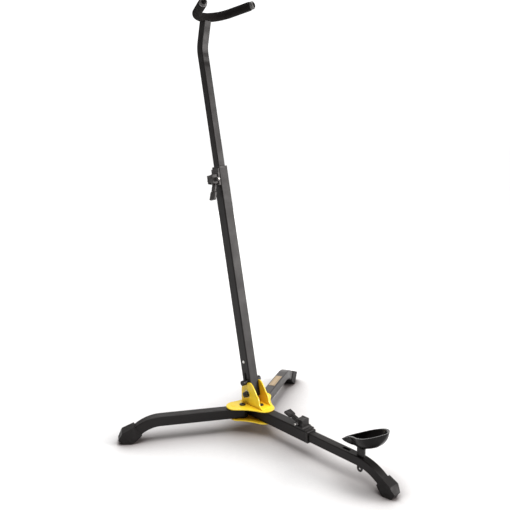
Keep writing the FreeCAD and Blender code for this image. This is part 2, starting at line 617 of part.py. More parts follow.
def guide_plug(label, placement):
    """Plastic plug pressed into the sliding tube, with a head that fills the outer tube."""
    body = new_body(label)
    sk = new_sketch(body, label + "_head")
    bore = D["tube_outer"] - 2 * D["tube_wall"] - 0.5
    centred_rectangle(sk, bore, bore, "Dimensions.tube_outer - 2 * Dimensions.tube_wall - 0.5", "Dimensions.tube_outer - 2 * Dimensions.tube_wall - 0.5")
    pad(body, sk, 5.0, None, reverse=True)
    names = edges_of(body.Tip.Shape, lambda e: along(e, V(0, 0, 1)))
    dress(body, "Fillet", names, 1.3)
    sk = new_sketch(body, label + "_stem")
    stem = D["slim_outer"] - 2 * D["slim_wall"]
    centred_rectangle(sk, stem, stem, "Dimensions.slim_outer - 2 * Dimensions.slim_wall", "Dimensions.slim_outer - 2 * Dimensions.slim_wall")
    pad(body, sk, 14.0)
    names = edges_of(body.Tip.Shape, lambda e: along(e, V(0, 0, 1)) and e.CenterOfMass.z > 1)
    dress(body, "Fillet", names, 0.8)
    body.Placement = placement
    return body


guide_plug("extension_guide_plug", hub(D["extension_start"], 0, LZ, Rotation(V(0, 1, 0), 90)))

# ------------------------------------------------------------ cup and post
NOSE, BACK, WIDE = D["cup_nose"], D["cup_back"], D["cup_widest"]
KEEL = [(254.8, 72.8), (262.0, 69.2), (270.0, 68.6), (280.0, 69.2), (288.0, 71.0), (292.0, 71.7), (300.0, 72.3),
        (310.0, 75.6), (320.0, 78.7), (330.0, 81.8), (338.0, 85.6), (345.0, 90.0), (351.0, 97.0), (356.0, 104.5),
        (361.0, 116.0)]
# fullness of the plan against an ellipse, from the pinched spout to the round back
FULL = [(-1.0, 0.66), (-0.956, 0.62), (-0.9, 0.53), (-0.817, 0.455), (-0.706, 0.43), (-0.568, 0.505), (-0.471, 0.622),
        (-0.374, 0.743), (-0.277, 0.857), (-0.18, 0.942), (-0.069, 0.99), (0.088, 1.0), (0.265, 0.98), (0.441, 0.935),
        (0.618, 0.86), (0.735, 0.80), (0.824, 0.745), (0.912, 0.69), (1.0, 0.66)]
z0 = D["cup_floor"]


def keel_height(x):
    """Height of the cup's underside along its middle."""
    if x <= KEEL[0][0]:
        return KEEL[0][1]
    for (xa, za), (xb, zb) in zip(KEEL, KEEL[1:]):
        if x <= xb:
            return za + (zb - za) * (x - xa) / (xb - xa)
    return KEEL[-1][1]


def rim_height(x):
    """The rim climbs from the spout and levels out a little towards the back."""
    v = (x - 300.0) / 50.0
    return D["cup_rim_mid"] + 21.2 * v - 4.66 * v * v + 2.665 * v ** 3


def fullness(c):
    """Smooth curve through the fullness table."""
    c = max(-1.0, min(1.0, c))
    n = len(FULL)
    i = max(k for k in range(n - 1) if FULL[k][0] <= c)
    (xa, ya), (xb, yb) = FULL[i], FULL[i + 1]
    before, after = FULL[max(i - 1, 0)], FULL[min(i + 2, n - 1)]
    ma = (yb - before[1]) / (xb - before[0])
    mb = (after[1] - ya) / (after[0] - xa)
    h = xb - xa
    t = (c - xa) / h
    return ((2 * t ** 3 - 3 * t ** 2 + 1) * ya + (t ** 3 - 2 * t ** 2 + t) * h * ma
            + (3 * t ** 2 - 2 * t ** 3) * yb + (t ** 3 - t ** 2) * h * mb)


def half_width(x):
    u = (x - WIDE) / ((BACK - WIDE) if x > WIDE else (WIDE - NOSE))
    u = max(-1.0, min(1.0, u))
    return D["cup_half_width"] * math.sqrt(max(0.0, 1 - u * u)) * fullness(u)


def rim_point(t):
    """Plan of the rim: a narrow spout in front, round at the back."""
    c, s = math.cos(t), math.sin(t)
    x = WIDE + ((WIDE - NOSE) if c < 0 else (BACK - WIDE)) * c
    return x, D["cup_half_width"] * s * fullness(c), abs(s)


CUP_X = 300.0                                    # middle of the flat underside


def ring(scale, inner):
    pts = []
    middle = (NOSE + BACK) / 2.0
    for k in range(64):
        x, y, side = rim_point(2 * math.pi * k / 64.0)
        px, py = CUP_X + scale * (x - CUP_X), scale * y
        if scale > 0.25:
            w = half_width(px)                       # half width of the rim at this station
            share = min(1.0, abs(py) / w) if w > 0.5 else 1.0
            zk, zr = keel_height(px), rim_height(px)
            z = zk + max(0.0, zr - zk) * share ** 3.2
            if scale > 0.999:
                z = zr
        else:
            z = z0
        if inner:
            px = middle + (px - middle) * (1 - 2 * D["cup_wall"] / (BACK - NOSE))
            py = py * (1 - D["cup_wall"] / max(half_width(px), 11.0))
            z = z + D["cup_wall"]
            if scale > 0.999:
                z = rim_height(px) + D["cup_wall"]
        pts.append(V(px, py, z))
    return pts


def ring_wire(points):
    curve = Part.BSplineCurve()
    curve.interpolate(Points=points, PeriodicFlag=True)
    return Part.Wire([curve.toShape()])


def lid(points, lift):
    """The same ring carried straight up to a sloping plane above the rim."""
    return ring_wire([V(p.x, p.y, 80.0 + lift + 0.461 * (p.x - NOSE)) for p in points])


STEPS = [0.22, 0.37, 0.52, 0.66, 0.78, 0.88, 0.95, 1.0]
outer = Part.makeLoft([ring_wire(ring(k, False)) for k in STEPS] + [lid(ring(1.0, False), 0.0)], True, False)
inner = Part.makeLoft([ring_wire(ring(k, True)) for k in STEPS] + [lid(ring(1.0, True), 12.0)], True, False)
# everything above the curved line of the rim comes off
line = Part.BSplineCurve()
line.interpolate(Points=[V(x, -60.0, rim_height(x)) for x in range(240, 381, 10)])
edge = line.toShape()
left, right = V(240, -60, rim_height(240)), V(380, -60, rim_height(380))
above = Part.Wire([edge, Part.makeLine(right, V(380, -60, 200)), Part.makeLine(V(380, -60, 200), V(240, -60, 200)),
                   Part.makeLine(V(240, -60, 200), left)])
trim = Part.Face(above).extrude(V(0, 120, 0))
cup = outer.cut(inner).cut(trim)
feature_part("instrument_cup", cup, hub())

body = new_body("cup_post")
sk = new_sketch(body, "post_blade", "XZ_Plane")
cs = D["cup_station"]
top_of_leg = LZ + SLIM
polygon(sk, [(cs - 8.5, z0), (cs - 8.5, top_of_leg + 0.1), (cs + 8.5, top_of_leg + 0.1), (cs + 8.5, z0)])
pad(body, sk, 8.0, None, both=True)
names = edges_of(body.Tip.Shape, lambda e: along(e, V(0, 0, 1)))
dress(body, "Fillet", names, 2.5)
sk = new_sketch(body, "post_tongue", "XZ_Plane")
zt = 19.8
first = sk.GeometryCount
tc = cs - 2.1                                    # middle of the tongue's lower end
pts = [(cs - 8.3, top_of_leg + 1.0), (cs - 8.3, 38.0), (tc - 6.2, 34.0), (tc - 6.2, zt + 6.2)]
for k in range(3):
    sk.addGeometry(Part.LineSegment(V(pts[k][0], pts[k][1], 0), V(pts[k + 1][0], pts[k + 1][1], 0)), False)
sk.addGeometry(Part.Arc(V(tc - 6.2, zt + 6.2, 0), V(tc, zt, 0), V(tc + 6.2, zt + 6.2, 0)), False)
pts = [(tc + 6.2, zt + 6.2), (tc + 6.2, 34.0), (cs + 8.3, 38.0), (cs + 8.3, top_of_leg + 1.0), (cs - 8.3, top_of_leg + 1.0)]
for k in range(4):
    sk.addGeometry(Part.LineSegment(V(pts[k][0], pts[k][1], 0), V(pts[k + 1][0], pts[k + 1][1], 0)), False)
pad(body, sk, 6.0, None, both=True)
side_hole(body, "post_tongue_hole", "XZ_Plane", (tc, zt + 6.0), 2.6)
for flank, start in (("near", -8.0), ("far", 1.3)):   # the eye below the leg is thinner than the blade
    sk = new_sketch(body, "post_eye_" + flank, "XY_Plane", 10.0)
    polygon(sk, [(tc - 12.0, start), (tc + 12.0, start), (tc + 12.0, start + 6.7), (tc - 12.0, start + 6.7)])
    pocket(body, sk, LZ - SLIM - 0.6 - 10.0, reverse=True)
body.Placement = hub()

# ------------------------------------------------------------- cam clamps
# Built once in a local frame: the tube runs along X with its clamped face at
# z = 0, the cross bolt lies along Y at height clamp_bolt_off, the lever points
# towards -X, and the open end of the tube is on the +X side.
CB = D["clamp_bolt"] / 2
CO = D["clamp_bolt_off"]


def make_clamp(prefix, placement, end_gap):
    label = prefix + "_clamp_block"
    # block: base plate, a boxy housing with a slot for the lever, and two bosses for the bolt
    body = new_body(label)
    sk = new_sketch(body, label + "_base", "XZ_Plane")
    polygon(sk, [(-13.0, 0.0), (end_gap, 0.0), (end_gap, 2.4), (15.4, 2.4), (13.4, 4.6), (-11.0, 4.6), (-13.0, 2.6)])
    pad(body, sk, D["tube_outer"], "Dimensions.tube_outer", both=True)
    sk = new_sketch(body, label + "_housing", "XZ_Plane")
    polygon(sk, [(-9.0, 2.0), (10.9, 2.0), (10.9, 18.7), (-7.4, 18.7), (-9.0, 13.0)])
    pad(body, sk, 20.0, None, both=True)
    names = edges_of(body.Tip.Shape, lambda e: along(e, V(0, 1, 0)) and e.CenterOfMass.z > 18.0)
    dress(body, "Fillet", names, 1.0)
    sk = new_sketch(body, label + "_bosses", "XZ_Plane")
    circle(sk, 4.6, None, 0.0, CO)
    pad(body, sk, 27.0, None, both=True)
    sk = new_sketch(body, label + "_slot", "XZ_Plane")
    polygon(sk, [(-40.0, 2.4), (0.0, 2.4), (0.0, 40.0), (-40.0, 40.0)])
    pocket(body, sk, 13.8, both=True)
    sk = new_sketch(body, label + "_swing", "XZ_Plane")     # room for the crown of the lever to turn
    circle(sk, 9.8, None, 0.0, CO)
    pocket(body, sk, 13.8, both=True)
    side_hole(body, label + "_cross", "XZ_Plane", (0.0, CO), CB + 0.05, "Dimensions.clamp_bolt + 0.1")
    sk = new_sketch(body, label + "_window", "XY_Plane")
    centred_rectangle(sk, 11.6, 11.6)
    pocket(body, sk, 12.0, both=True)
    body.Placement = placement

    # pressure shoe: a block that passes through the window to the sliding tube
    depth = HALF - SLIM - 0.3                       # reaches 0.3 mm off the sliding tube
    body = new_body(prefix + "_clamp_shoe")
    sk = new_sketch(body, prefix + "_shoe_outline", "XY_Plane", -depth)
    centred_rectangle(sk, 11.0, 11.0)
    pad(body, sk, depth + 2.3)
    names = edges_of(body.Tip.Shape, lambda e: along(e, V(0, 0, 1)))
    dress(body, "Chamfer", names, 0.8)
    body.Placement = placement

    # lever: an off-centre eye with a flat crown between the cheeks, a neck and a paddle
    eye = cylinder(7.2, (-0.6, -6.6, CO - 0.2), (-0.6, 6.6, CO - 0.2)).fuse(box(-5.1, 5.1, -6.6, 6.6, CO, CO + 8.0))
    lift = math.radians(18.5)
    u = V(-math.cos(lift), 0, math.sin(lift))
    w = V(math.sin(lift), 0, math.cos(lift))
    root = V(-2.5, 0, CO - 4.6)

    def slab(s0, s1, t0, t1, y0, y1):
        corners = [root + u * s + w * t for s, t in ((s0, t0), (s1, t0), (s1, t1), (s0, t1))]
        face = Part.Face(Part.makePolygon([V(c.x, y0, c.z) for c in corners + [corners[0]]]))
        return face.extrude(V(0, y1 - y0, 0))
    neck = slab(0.0, 28.0, -2.2, 2.2, -5.4, 5.4)
    rib = slab(6.0, 27.0, 2.0, 4.0, -3.4, 3.4)
    pts = [(24.5, -5.6), (27.0, -8.6), (43.5, -9.1), (43.5, 9.1), (27.0, 8.6), (24.5, 5.6)]
    paddle_face = Part.Face(Part.makePolygon([root + u * s + w * -2.4 + V(0, y, 0) for s, y in pts + [pts[0]]]))
    paddle = paddle_face.extrude(w * 4.8)
    rim = [e for e in paddle.Edges if e.Length > 3.0 and abs((e.Vertexes[0].Point - root).dot(u) - 43.5) < 0.01 and abs((e.Vertexes[-1].Point - root).dot(u) - 43.5) < 0.01]
    paddle = paddle.makeFillet(1.3, rim)
    lever = eye.fuse([neck, rib, paddle])
    for s in (31.5, 35.0, 38.5):                     # shallow finger grooves across the paddle
        groove = cylinder(0.9, (0, -20, 0), (0, 20, 0))
        groove.translate(root + u * s + w * 2.8)
        lever = lever.cut(groove)
    lever = lever.cut(cylinder(CB + 0.06, (0, -20, CO), (0, 20, CO))).removeSplitter()
    feature_part(prefix + "_clamp_lever", lever, placement)

    # cross bolt with a domed head on one boss, washer and nut on the other
    head = cylinder(4.4, (0, 13.5, CO), (0, 17.3, CO))
    rim = [e for e in head.Edges if abs(e.CenterOfMass.y - 17.3) < 1e-6 and e.Length > 20]
    head = head.makeFillet(1.8, rim)
    shank = cylinder(CB, (0, -21.6, CO), (0, 13.6, CO))
    tip = [e for e in shank.Edges if abs(e.CenterOfMass.y + 21.6) < 1e-6 and e.Length > 10]
    shank = shank.makeFillet(0.7, tip)
    feature_part(prefix + "_clamp_bolt", shank.fuse(head).removeSplitter(), placement)
    washer = cylinder(4.8, (0, -14.5, CO), (0, -13.5, CO)).cut(cylinder(CB + 0.1, (0, -16, CO), (0, -12, CO)))
    nut = hexagon(8.0, (0, -14.5, CO), (0, -18.6, CO)).cut(cylinder(CB, (0, -20, CO), (0, -12, CO)))
    feature_part(prefix + "_clamp_nut", Part.makeCompound([washer, nut]), placement)


LEG_CLAMP = hub(D["leg_clamp_station"], 0, LZ + HALF)
make_clamp("leg", LEG_CLAMP, D["front_tube_end"] - D["leg_clamp_station"])
# on the mast the clamp sits on the -Y face and its lever hangs down
mast_clamp_local = Placement(V(0, -HALF, D["mast_clamp_station"]), Rotation(V(0, 0, 1), V(-1, 0, 0), V(0, -1, 0), "ZXY"))
MAST_CLAMP = MAST.multiply(mast_clamp_local)
make_clamp("mast", MAST_CLAMP, D["mast_top"] - D["mast_clamp_station"])


# ------------------------------------------------------------ guide collars
def guide_collar(label, placement):
    """Flange on the open end of a large tube and a thin bush inside it."""
    body = new_body(label)
    sk = new_sketch(body, label + "_flange")
    size = D["tube_outer"] + 0.5
    centred_rectangle(sk, size, size, "Dimensions.tube_outer + 0.5", "Dimensions.tube_outer + 0.5")
    pad(body, sk, D["collar_height"], "Dimensions.collar_height")
    names = edges_of(body.Tip.Shape, lambda e: along(e, V(0, 0, 1)))
    dress(body, "Fillet", names, 3.0)
    names = edges_of(body.Tip.Shape, lambda e: abs(e.CenterOfMass.z - D["collar_height"]) < 1e-4 and e.BoundBox.ZLength < 1e-4)
    dress(body, "Fillet", names, 1.0)
    sk = new_sketch(body, label + "_bush")
    bush = D["tube_outer"] - 2 * D["tube_wall"] - 0.1
    centred_rectangle(sk, bush, bush, "Dimensions.tube_outer - 2 * Dimensions.tube_wall - 0.1", "Dimensions.tube_outer - 2 * Dimensions.tube_wall - 0.1")
    pad(body, sk, 14.0, None, reverse=True)
    names = edges_of(body.Tip.Shape, lambda e: along(e, V(0, 0, 1)) and e.CenterOfMass.z < -1)
    dress(body, "Fillet", names, 1.15)
    sk = new_sketch(body, label + "_way")
    way = D["slim_outer"] + 0.4
    centred_rectangle(sk, way, way, "Dimensions.slim_outer + 0.4", "Dimensions.slim_outer + 0.4")
    pocket(body, sk, 60.0, both=True)
    names = edges_of(body.Tip.Shape, lambda e: along(e, V(0, 0, 1)) and max(abs(e.CenterOfMass.x), abs(e.CenterOfMass.y)) < way / 2 + 0.01)
    dress(body, "Fillet", names, 1.6)
    body.Placement = placement
    return body


guide_collar("front_leg_collar", hub(D["front_tube_end"], 0, LZ, Rotation(V(0, 1, 0), 90)))
guide_collar("mast_guide_collar", MAST.multiply(Placement(V(0, 0, D["mast_top"]), Rotation())))

# ------------------------------------------------------------------- mast
mast = straight_tube("mast_lower_tube", "tube_outer", "tube_wall", "tube_corner",
                     "Dimensions.mast_top + Dimensions.mast_foot",
                     MAST.multiply(Placement(V(0, 0, -D["mast_foot"]), Rotation())),
                     D["mast_top"] + D["mast_foot"])
mf = D["mast_foot"]
side_hole(mast, "mast_pivot_hole", "XZ_Plane", (0.0, mf), D["pivot_bolt"] / 2 + 0.06, "Dimensions.pivot_bolt + 0.12")
side_hole(mast, "mast_rivet_hole", "XZ_Plane", (0.0, mf + D["rivet_station"]), D["rivet_diameter"] / 2 + 0.02, "Dimensions.rivet_diameter + 0.04")
sk = new_sketch(mast, "mast_pin_slot", "XZ_Plane")
r = D["lock_pin_diameter"] / 2 + 0.3
s0 = mf + D["lock_pin_station"] - 0.3
s1 = mf + D["lock_pin_station"] + D["lock_pin_lift"] + 0.6
sk.addGeometry(Part.LineSegment(V(r, s0, 0), V(r, s1, 0)), False)
sk.addGeometry(Part.Arc(V(r, s1, 0), V(0, s1 + r, 0), V(-r, s1, 0)), False)
sk.addGeometry(Part.LineSegment(V(-r, s1, 0), V(-r, s0, 0)), False)
sk.addGeometry(Part.Arc(V(-r, s0, 0), V(0, s0 - r, 0), V(r, s0, 0)), False)
pocket(mast, sk, 200.0, both=True)
sk = new_sketch(mast, "mast_shoe_window", "XZ_Plane")
centred_rectangle(sk, 11.6, 11.6, None, None, 0.0, mf + D["mast_clamp_station"])
pocket(mast, sk, 40.0, reverse=True)

# pivot bolt: head and washer on the far ear, washer and cap nut on the near ear
ye = D["ear_inner"] + D["ear_thickness"]
P0 = (PX, PZ)
rp = D["pivot_bolt"] / 2
head = hexagon(13.0, (PX, ye + 1.2, PZ), (PX, ye + 6.4, PZ), 30.0)
bolt = cylinder(rp, (PX, -ye - 6.8, PZ), (PX, ye + 1.3, PZ)).fuse(head).removeSplitter()
feature_part("mast_pivot_bolt", bolt, hub())
nut = cylinder(6.9, (PX, -ye - 1.2, PZ), (PX, -ye - 3.0, PZ)).fuse(hexagon(12.0, (PX, -ye - 2.4, PZ), (PX, -ye - 8.6, PZ), 30.0))
tip = Part.makeSphere(6.4, V(PX, -ye - 4.6, PZ)).common(box(PX - 8, PX + 8, -ye - 13, -ye - 4.6, PZ - 8, PZ + 8))
nut = nut.fuse(tip).cut(cylinder(rp, (PX, -ye - 6.8, PZ), (PX, 0, PZ))).removeSplitter()
feature_part("mast_pivot_nut", nut, hub())
washers = []
for s in (-1, 1):
    washers.append(cylinder(8.2, (PX, s * ye, PZ), (PX, s * (ye + 1.2), PZ)).cut(cylinder(rp + 0.1, (PX, s * (ye - 1), PZ), (PX, s * (ye + 3), PZ))))
fasteners("mast_pivot_washers", washers)

# lock pin: cross pin in the mast's slots, resting in the notches of the ears
ps = D["lock_pin_station"]
rl = D["lock_pin_diameter"] / 2
feature_part("lock_pin", cylinder(rl, (0, -25.0, ps), (0, 25.0, ps)), MAST)
knobs = []
for s in (-1, 1):
    k = cylinder(6.0, (0, s * (ye + 0.5), ps), (0, s * (ye + 11.0), ps))
    rim = [e for e in k.Edges if e.Length > 20 and e.Curve.TypeId == "Part::GeomCircle"]
    k = k.makeFillet(1.6, rim)
    k = k.cut(cylinder(rl, (0, 0, ps), (0, s * 25.0, ps)))
    knobs.append(k.removeSplitter())
fasteners("lock_pin_knobs", knobs, MAST)

# spring between the lock pin and the anchor rivet, inside the mast
helix = Part.makeHelix(4.6, D["rivet_station"] - ps - 9.0, 4.6)
wire = Part.Wire(helix.Edges)
start = wire.Edges[0].valueAt(wire.Edges[0].FirstParameter)
tangent = wire.Edges[0].tangentAt(wire.Edges[0].FirstParameter)
profile = Part.Wire([Part.makeCircle(0.6, start, tangent)])
spring = wire.makePipeShell([profile], True, True)
if not spring.Volume > 0:
    spring = spring.reversed()
spring.translate(V(0, 0, ps + rl + 1.4))
feature_part("lock_spring", Part.makeSolid(spring.Shells[0]) if spring.ShapeType != "Solid" else spring, MAST)
rr = D["rivet_diameter"] / 2
rs = D["rivet_station"]
rivet = cylinder(rr, (0, -HALF, rs), (0, HALF, rs))
for s in (-1, 1):
    h = cylinder(3.4, (0, s * HALF, rs), (0, s * (HALF + 1.3), rs))
    rim = [e for e in h.Edges if abs(abs(e.CenterOfMass.y) - HALF - 1.3) < 1e-6 and e.Length > 15]
    rivet = rivet.fuse(h.makeFillet(1.0, rim))
feature_part("spring_anchor_rivet", rivet.removeSplitter(), MAST)

# upper mast tube: straight, then kinked forward below the yoke
ang = D["kink_angle"]
kr = D["kink_radius"]
t = kr * math.tan(math.radians(ang / 2))
tube = bent_tube(D["slim_outer"], D["slim_wall"], D["slim_corner"], D["upper_start"], D["kink_station"] - t, kr, ang, D["kink_to_top"] - t + D["saddle_rise"])
# bent_tube runs along +X and bends towards -Z: turned so that it runs up the mast
tube.rotate(V(0, 0, 0), V(0, 1, 0), -90)
guide_plug("mast_guide_plug", MAST.multiply(Placement(V(0, 0, D["upper_start"]), Rotation())))

# --------------------------------------------------------------------- yoke
ka = math.radians(ang)
along_top = V(math.sin(ka), 0, math.cos(ka))
kink = V(0, 0, D["kink_station"])
TOP = MAST.multiply(Placement(kink + along_top * D["kink_to_top"], Rotation(V(0, 1, 0), ang)))
rod_r = D["yoke_rod_diameter"] / 2
foam_r = D["yoke_foam_diameter"] / 2
flange = 1.5
rod_up = flange + foam_r + 0.9                   # tube's end to the rod's centre line
yp = TOP.multVec(V(0, 0, rod_up))
YOKE = Placement(yp, Rotation(V(1, 0, 0), D["yoke_roll"]).multiply(Rotation(V(0, 1, 0), -D["yoke_rise"])))
ry = D["yoke_radius"]
flare = math.radians(D["yoke_flare"])
joint = V(ry - ry * math.sin(flare), ry * math.cos(flare), 0)
run = (D["yoke_reach"] - joint.x) / math.cos(flare)
out = V(math.cos(flare), math.sin(flare), 0)


def sweep_yoke(radius, cut):
    """Round bar along the yoke, both tips shortened by cut."""
    mirror = lambda p: V(p.x, -p.y, p.z)
    tip = joint + out * (run - cut)
    path = Part.Wire([
        Part.LineSegment(mirror(tip), mirror(joint)).toShape(),
        Part.Arc(mirror(joint), V(0, 0, 0), joint).toShape(),
        Part.LineSegment(joint, tip).toShape(),
    ])
    profile = Part.Wire([Part.makeCircle(radius, mirror(tip), mirror(out * -1))])
    return path.makePipeShell([profile], True, False)


rod = sweep_yoke(rod_r, 3.0)
foam = sweep_yoke(foam_r, 6.5).cut(sweep_yoke(rod_r + 0.05, 0.0))
neck_frame = YOKE.inverse().multiply(TOP)        # the tube's end seen from the yoke
neck_room = cylinder(5.9, (0, 0, -6), (0, 0, rod_up + 1.5))
neck_room.Placement = neck_frame
foam = foam.cut(neck_room)
saddle = sweep_yoke(foam_r + 0.3, 6.5)
saddle.Placement = MAST.inverse().multiply(YOKE)
feature_part("mast_upper_tube", tube.cut(saddle).removeSplitter(), MAST)
feature_part("yoke_rod", rod, YOKE)
feature_part("yoke_foam", foam.removeSplitter(), YOKE)
caps = []
for s in (-1, 1):
    o = V(out.x, s * out.y, 0)
    j = V(joint.x, s * joint.y, 0)
    base = j + o * (run - 6.5)
    c = Part.makeCylinder(8.4, 7.5, base, o)
    far = [e for e in c.Edges if e.Length > 30 and (e.CenterOfMass - base).dot(o) > 5]
    c = c.makeFillet(3.4, far)
    near = [e for e in c.Edges if e.Length > 30 and abs((e.CenterOfMass - base).dot(o)) < 0.01]
    c = c.makeFillet(0.8, near)
    c = c.cut(Part.makeCylinder(rod_r, 20.0, base - o * 16.5, o))
    caps.append(c.removeSplitter())
fasteners("yoke_end_caps", caps, YOKE)

# plug in the top of the upper tube, with the neck that the rod is fixed into
stem = Part.Face(rounded_square(D["slim_outer"] - 2 * D["slim_wall"], 0.8, Placement(V(0, 0, -15), Rotation()))).extrude(V(0, 0, 15 + flange))
neck = cylinder(5.6, (0, 0, 0.1), (0, 0, rod_up + 1.0))
plug = stem.fuse(neck).removeSplitter()
rod_seat = sweep_yoke(rod_r, 3.0)
rod_seat.Placement = TOP.inverse().multiply(YOKE)
plug = plug.cut(rod_seat)
feature_part("yoke_plug", plug, TOP)

# ------------------------------------------------------- checks and export
doc.recompute()
for obj in doc.Objects:
    if "Invalid" in obj.State or "Error" in obj.State:
        raise RuntimeError("%s: %s" % (obj.Label, obj.State))
parts = [o for o in doc.Objects if o.TypeId in ("PartDesign::Body", "Part::Feature")]
for obj in parts:
    if obj.Shape.isNull() or not obj.Shape.isValid() or not obj.Shape.Volume > 0 or not obj.Shape.Solids:
        raise RuntimeError("bad shape: %s" % obj.Label)
os.makedirs("parts", exist_ok=True)
box_all = FreeCAD.BoundBox()
for obj in parts:
    obj.Shape.exportStep("parts/%s.step" % obj.Label)
    box_all.add(obj.Shape.BoundBox)
print("%d parts, X %.2f..%.2f Y %.2f..%.2f Z %.2f..%.2f" % (len(parts), box_all.XMin, box_all.XMax, box_all.YMin, box_all.YMax, box_all.ZMin, box_all.ZMax))
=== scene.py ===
import math
import random

import bmesh
import bpy
from mathutils import Matrix, Vector, noise


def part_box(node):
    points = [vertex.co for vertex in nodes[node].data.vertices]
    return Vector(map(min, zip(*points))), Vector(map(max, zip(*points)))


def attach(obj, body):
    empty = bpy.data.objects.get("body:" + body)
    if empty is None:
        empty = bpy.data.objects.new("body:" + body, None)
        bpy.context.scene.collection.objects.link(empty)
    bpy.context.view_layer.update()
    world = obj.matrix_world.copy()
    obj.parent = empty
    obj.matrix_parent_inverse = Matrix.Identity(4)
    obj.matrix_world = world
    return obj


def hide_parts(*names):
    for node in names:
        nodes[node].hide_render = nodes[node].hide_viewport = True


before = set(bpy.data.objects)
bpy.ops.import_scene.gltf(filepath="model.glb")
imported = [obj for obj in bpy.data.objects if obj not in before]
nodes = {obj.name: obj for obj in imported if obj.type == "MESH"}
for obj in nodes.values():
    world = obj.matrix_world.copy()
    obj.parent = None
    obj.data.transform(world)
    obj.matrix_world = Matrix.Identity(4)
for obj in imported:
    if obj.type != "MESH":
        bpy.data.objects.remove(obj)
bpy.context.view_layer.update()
random.seed(7)
MM = 0.001

# ------------------------------------------------------------ reference frames
HUB_X = -102.0                                   # hub centre in the row frame, mm
LEAN = 11.95
PIVOT = Vector((-9.5 + HUB_X, 0.0, 83.5))
MAST_M = Matrix.Translation(PIVOT) @ Matrix.Rotation(math.radians(-LEAN), 4, "Y")
KINK, KINK_STATION, KINK_TO_TOP = 25.5, 773.0, 53.3
ka = math.radians(KINK)
TOP_M = MAST_M @ Matrix.Translation(Vector((math.sin(ka) * KINK_TO_TOP, 0, KINK_STATION + math.cos(ka) * KINK_TO_TOP))) @ Matrix.Rotation(ka, 4, "Y")
ROD_UP = 11.9
YOKE_M = Matrix.Translation(TOP_M @ Vector((0, 0, ROD_UP))) @ Matrix.Rotation(math.radians(4.5), 4, "X") @ Matrix.Rotation(math.radians(-11.5), 4, "Y")
YOKE_R, YOKE_REACH, FLARE, FOAM_R = 48.0, 84.0, math.radians(23.0), 9.5


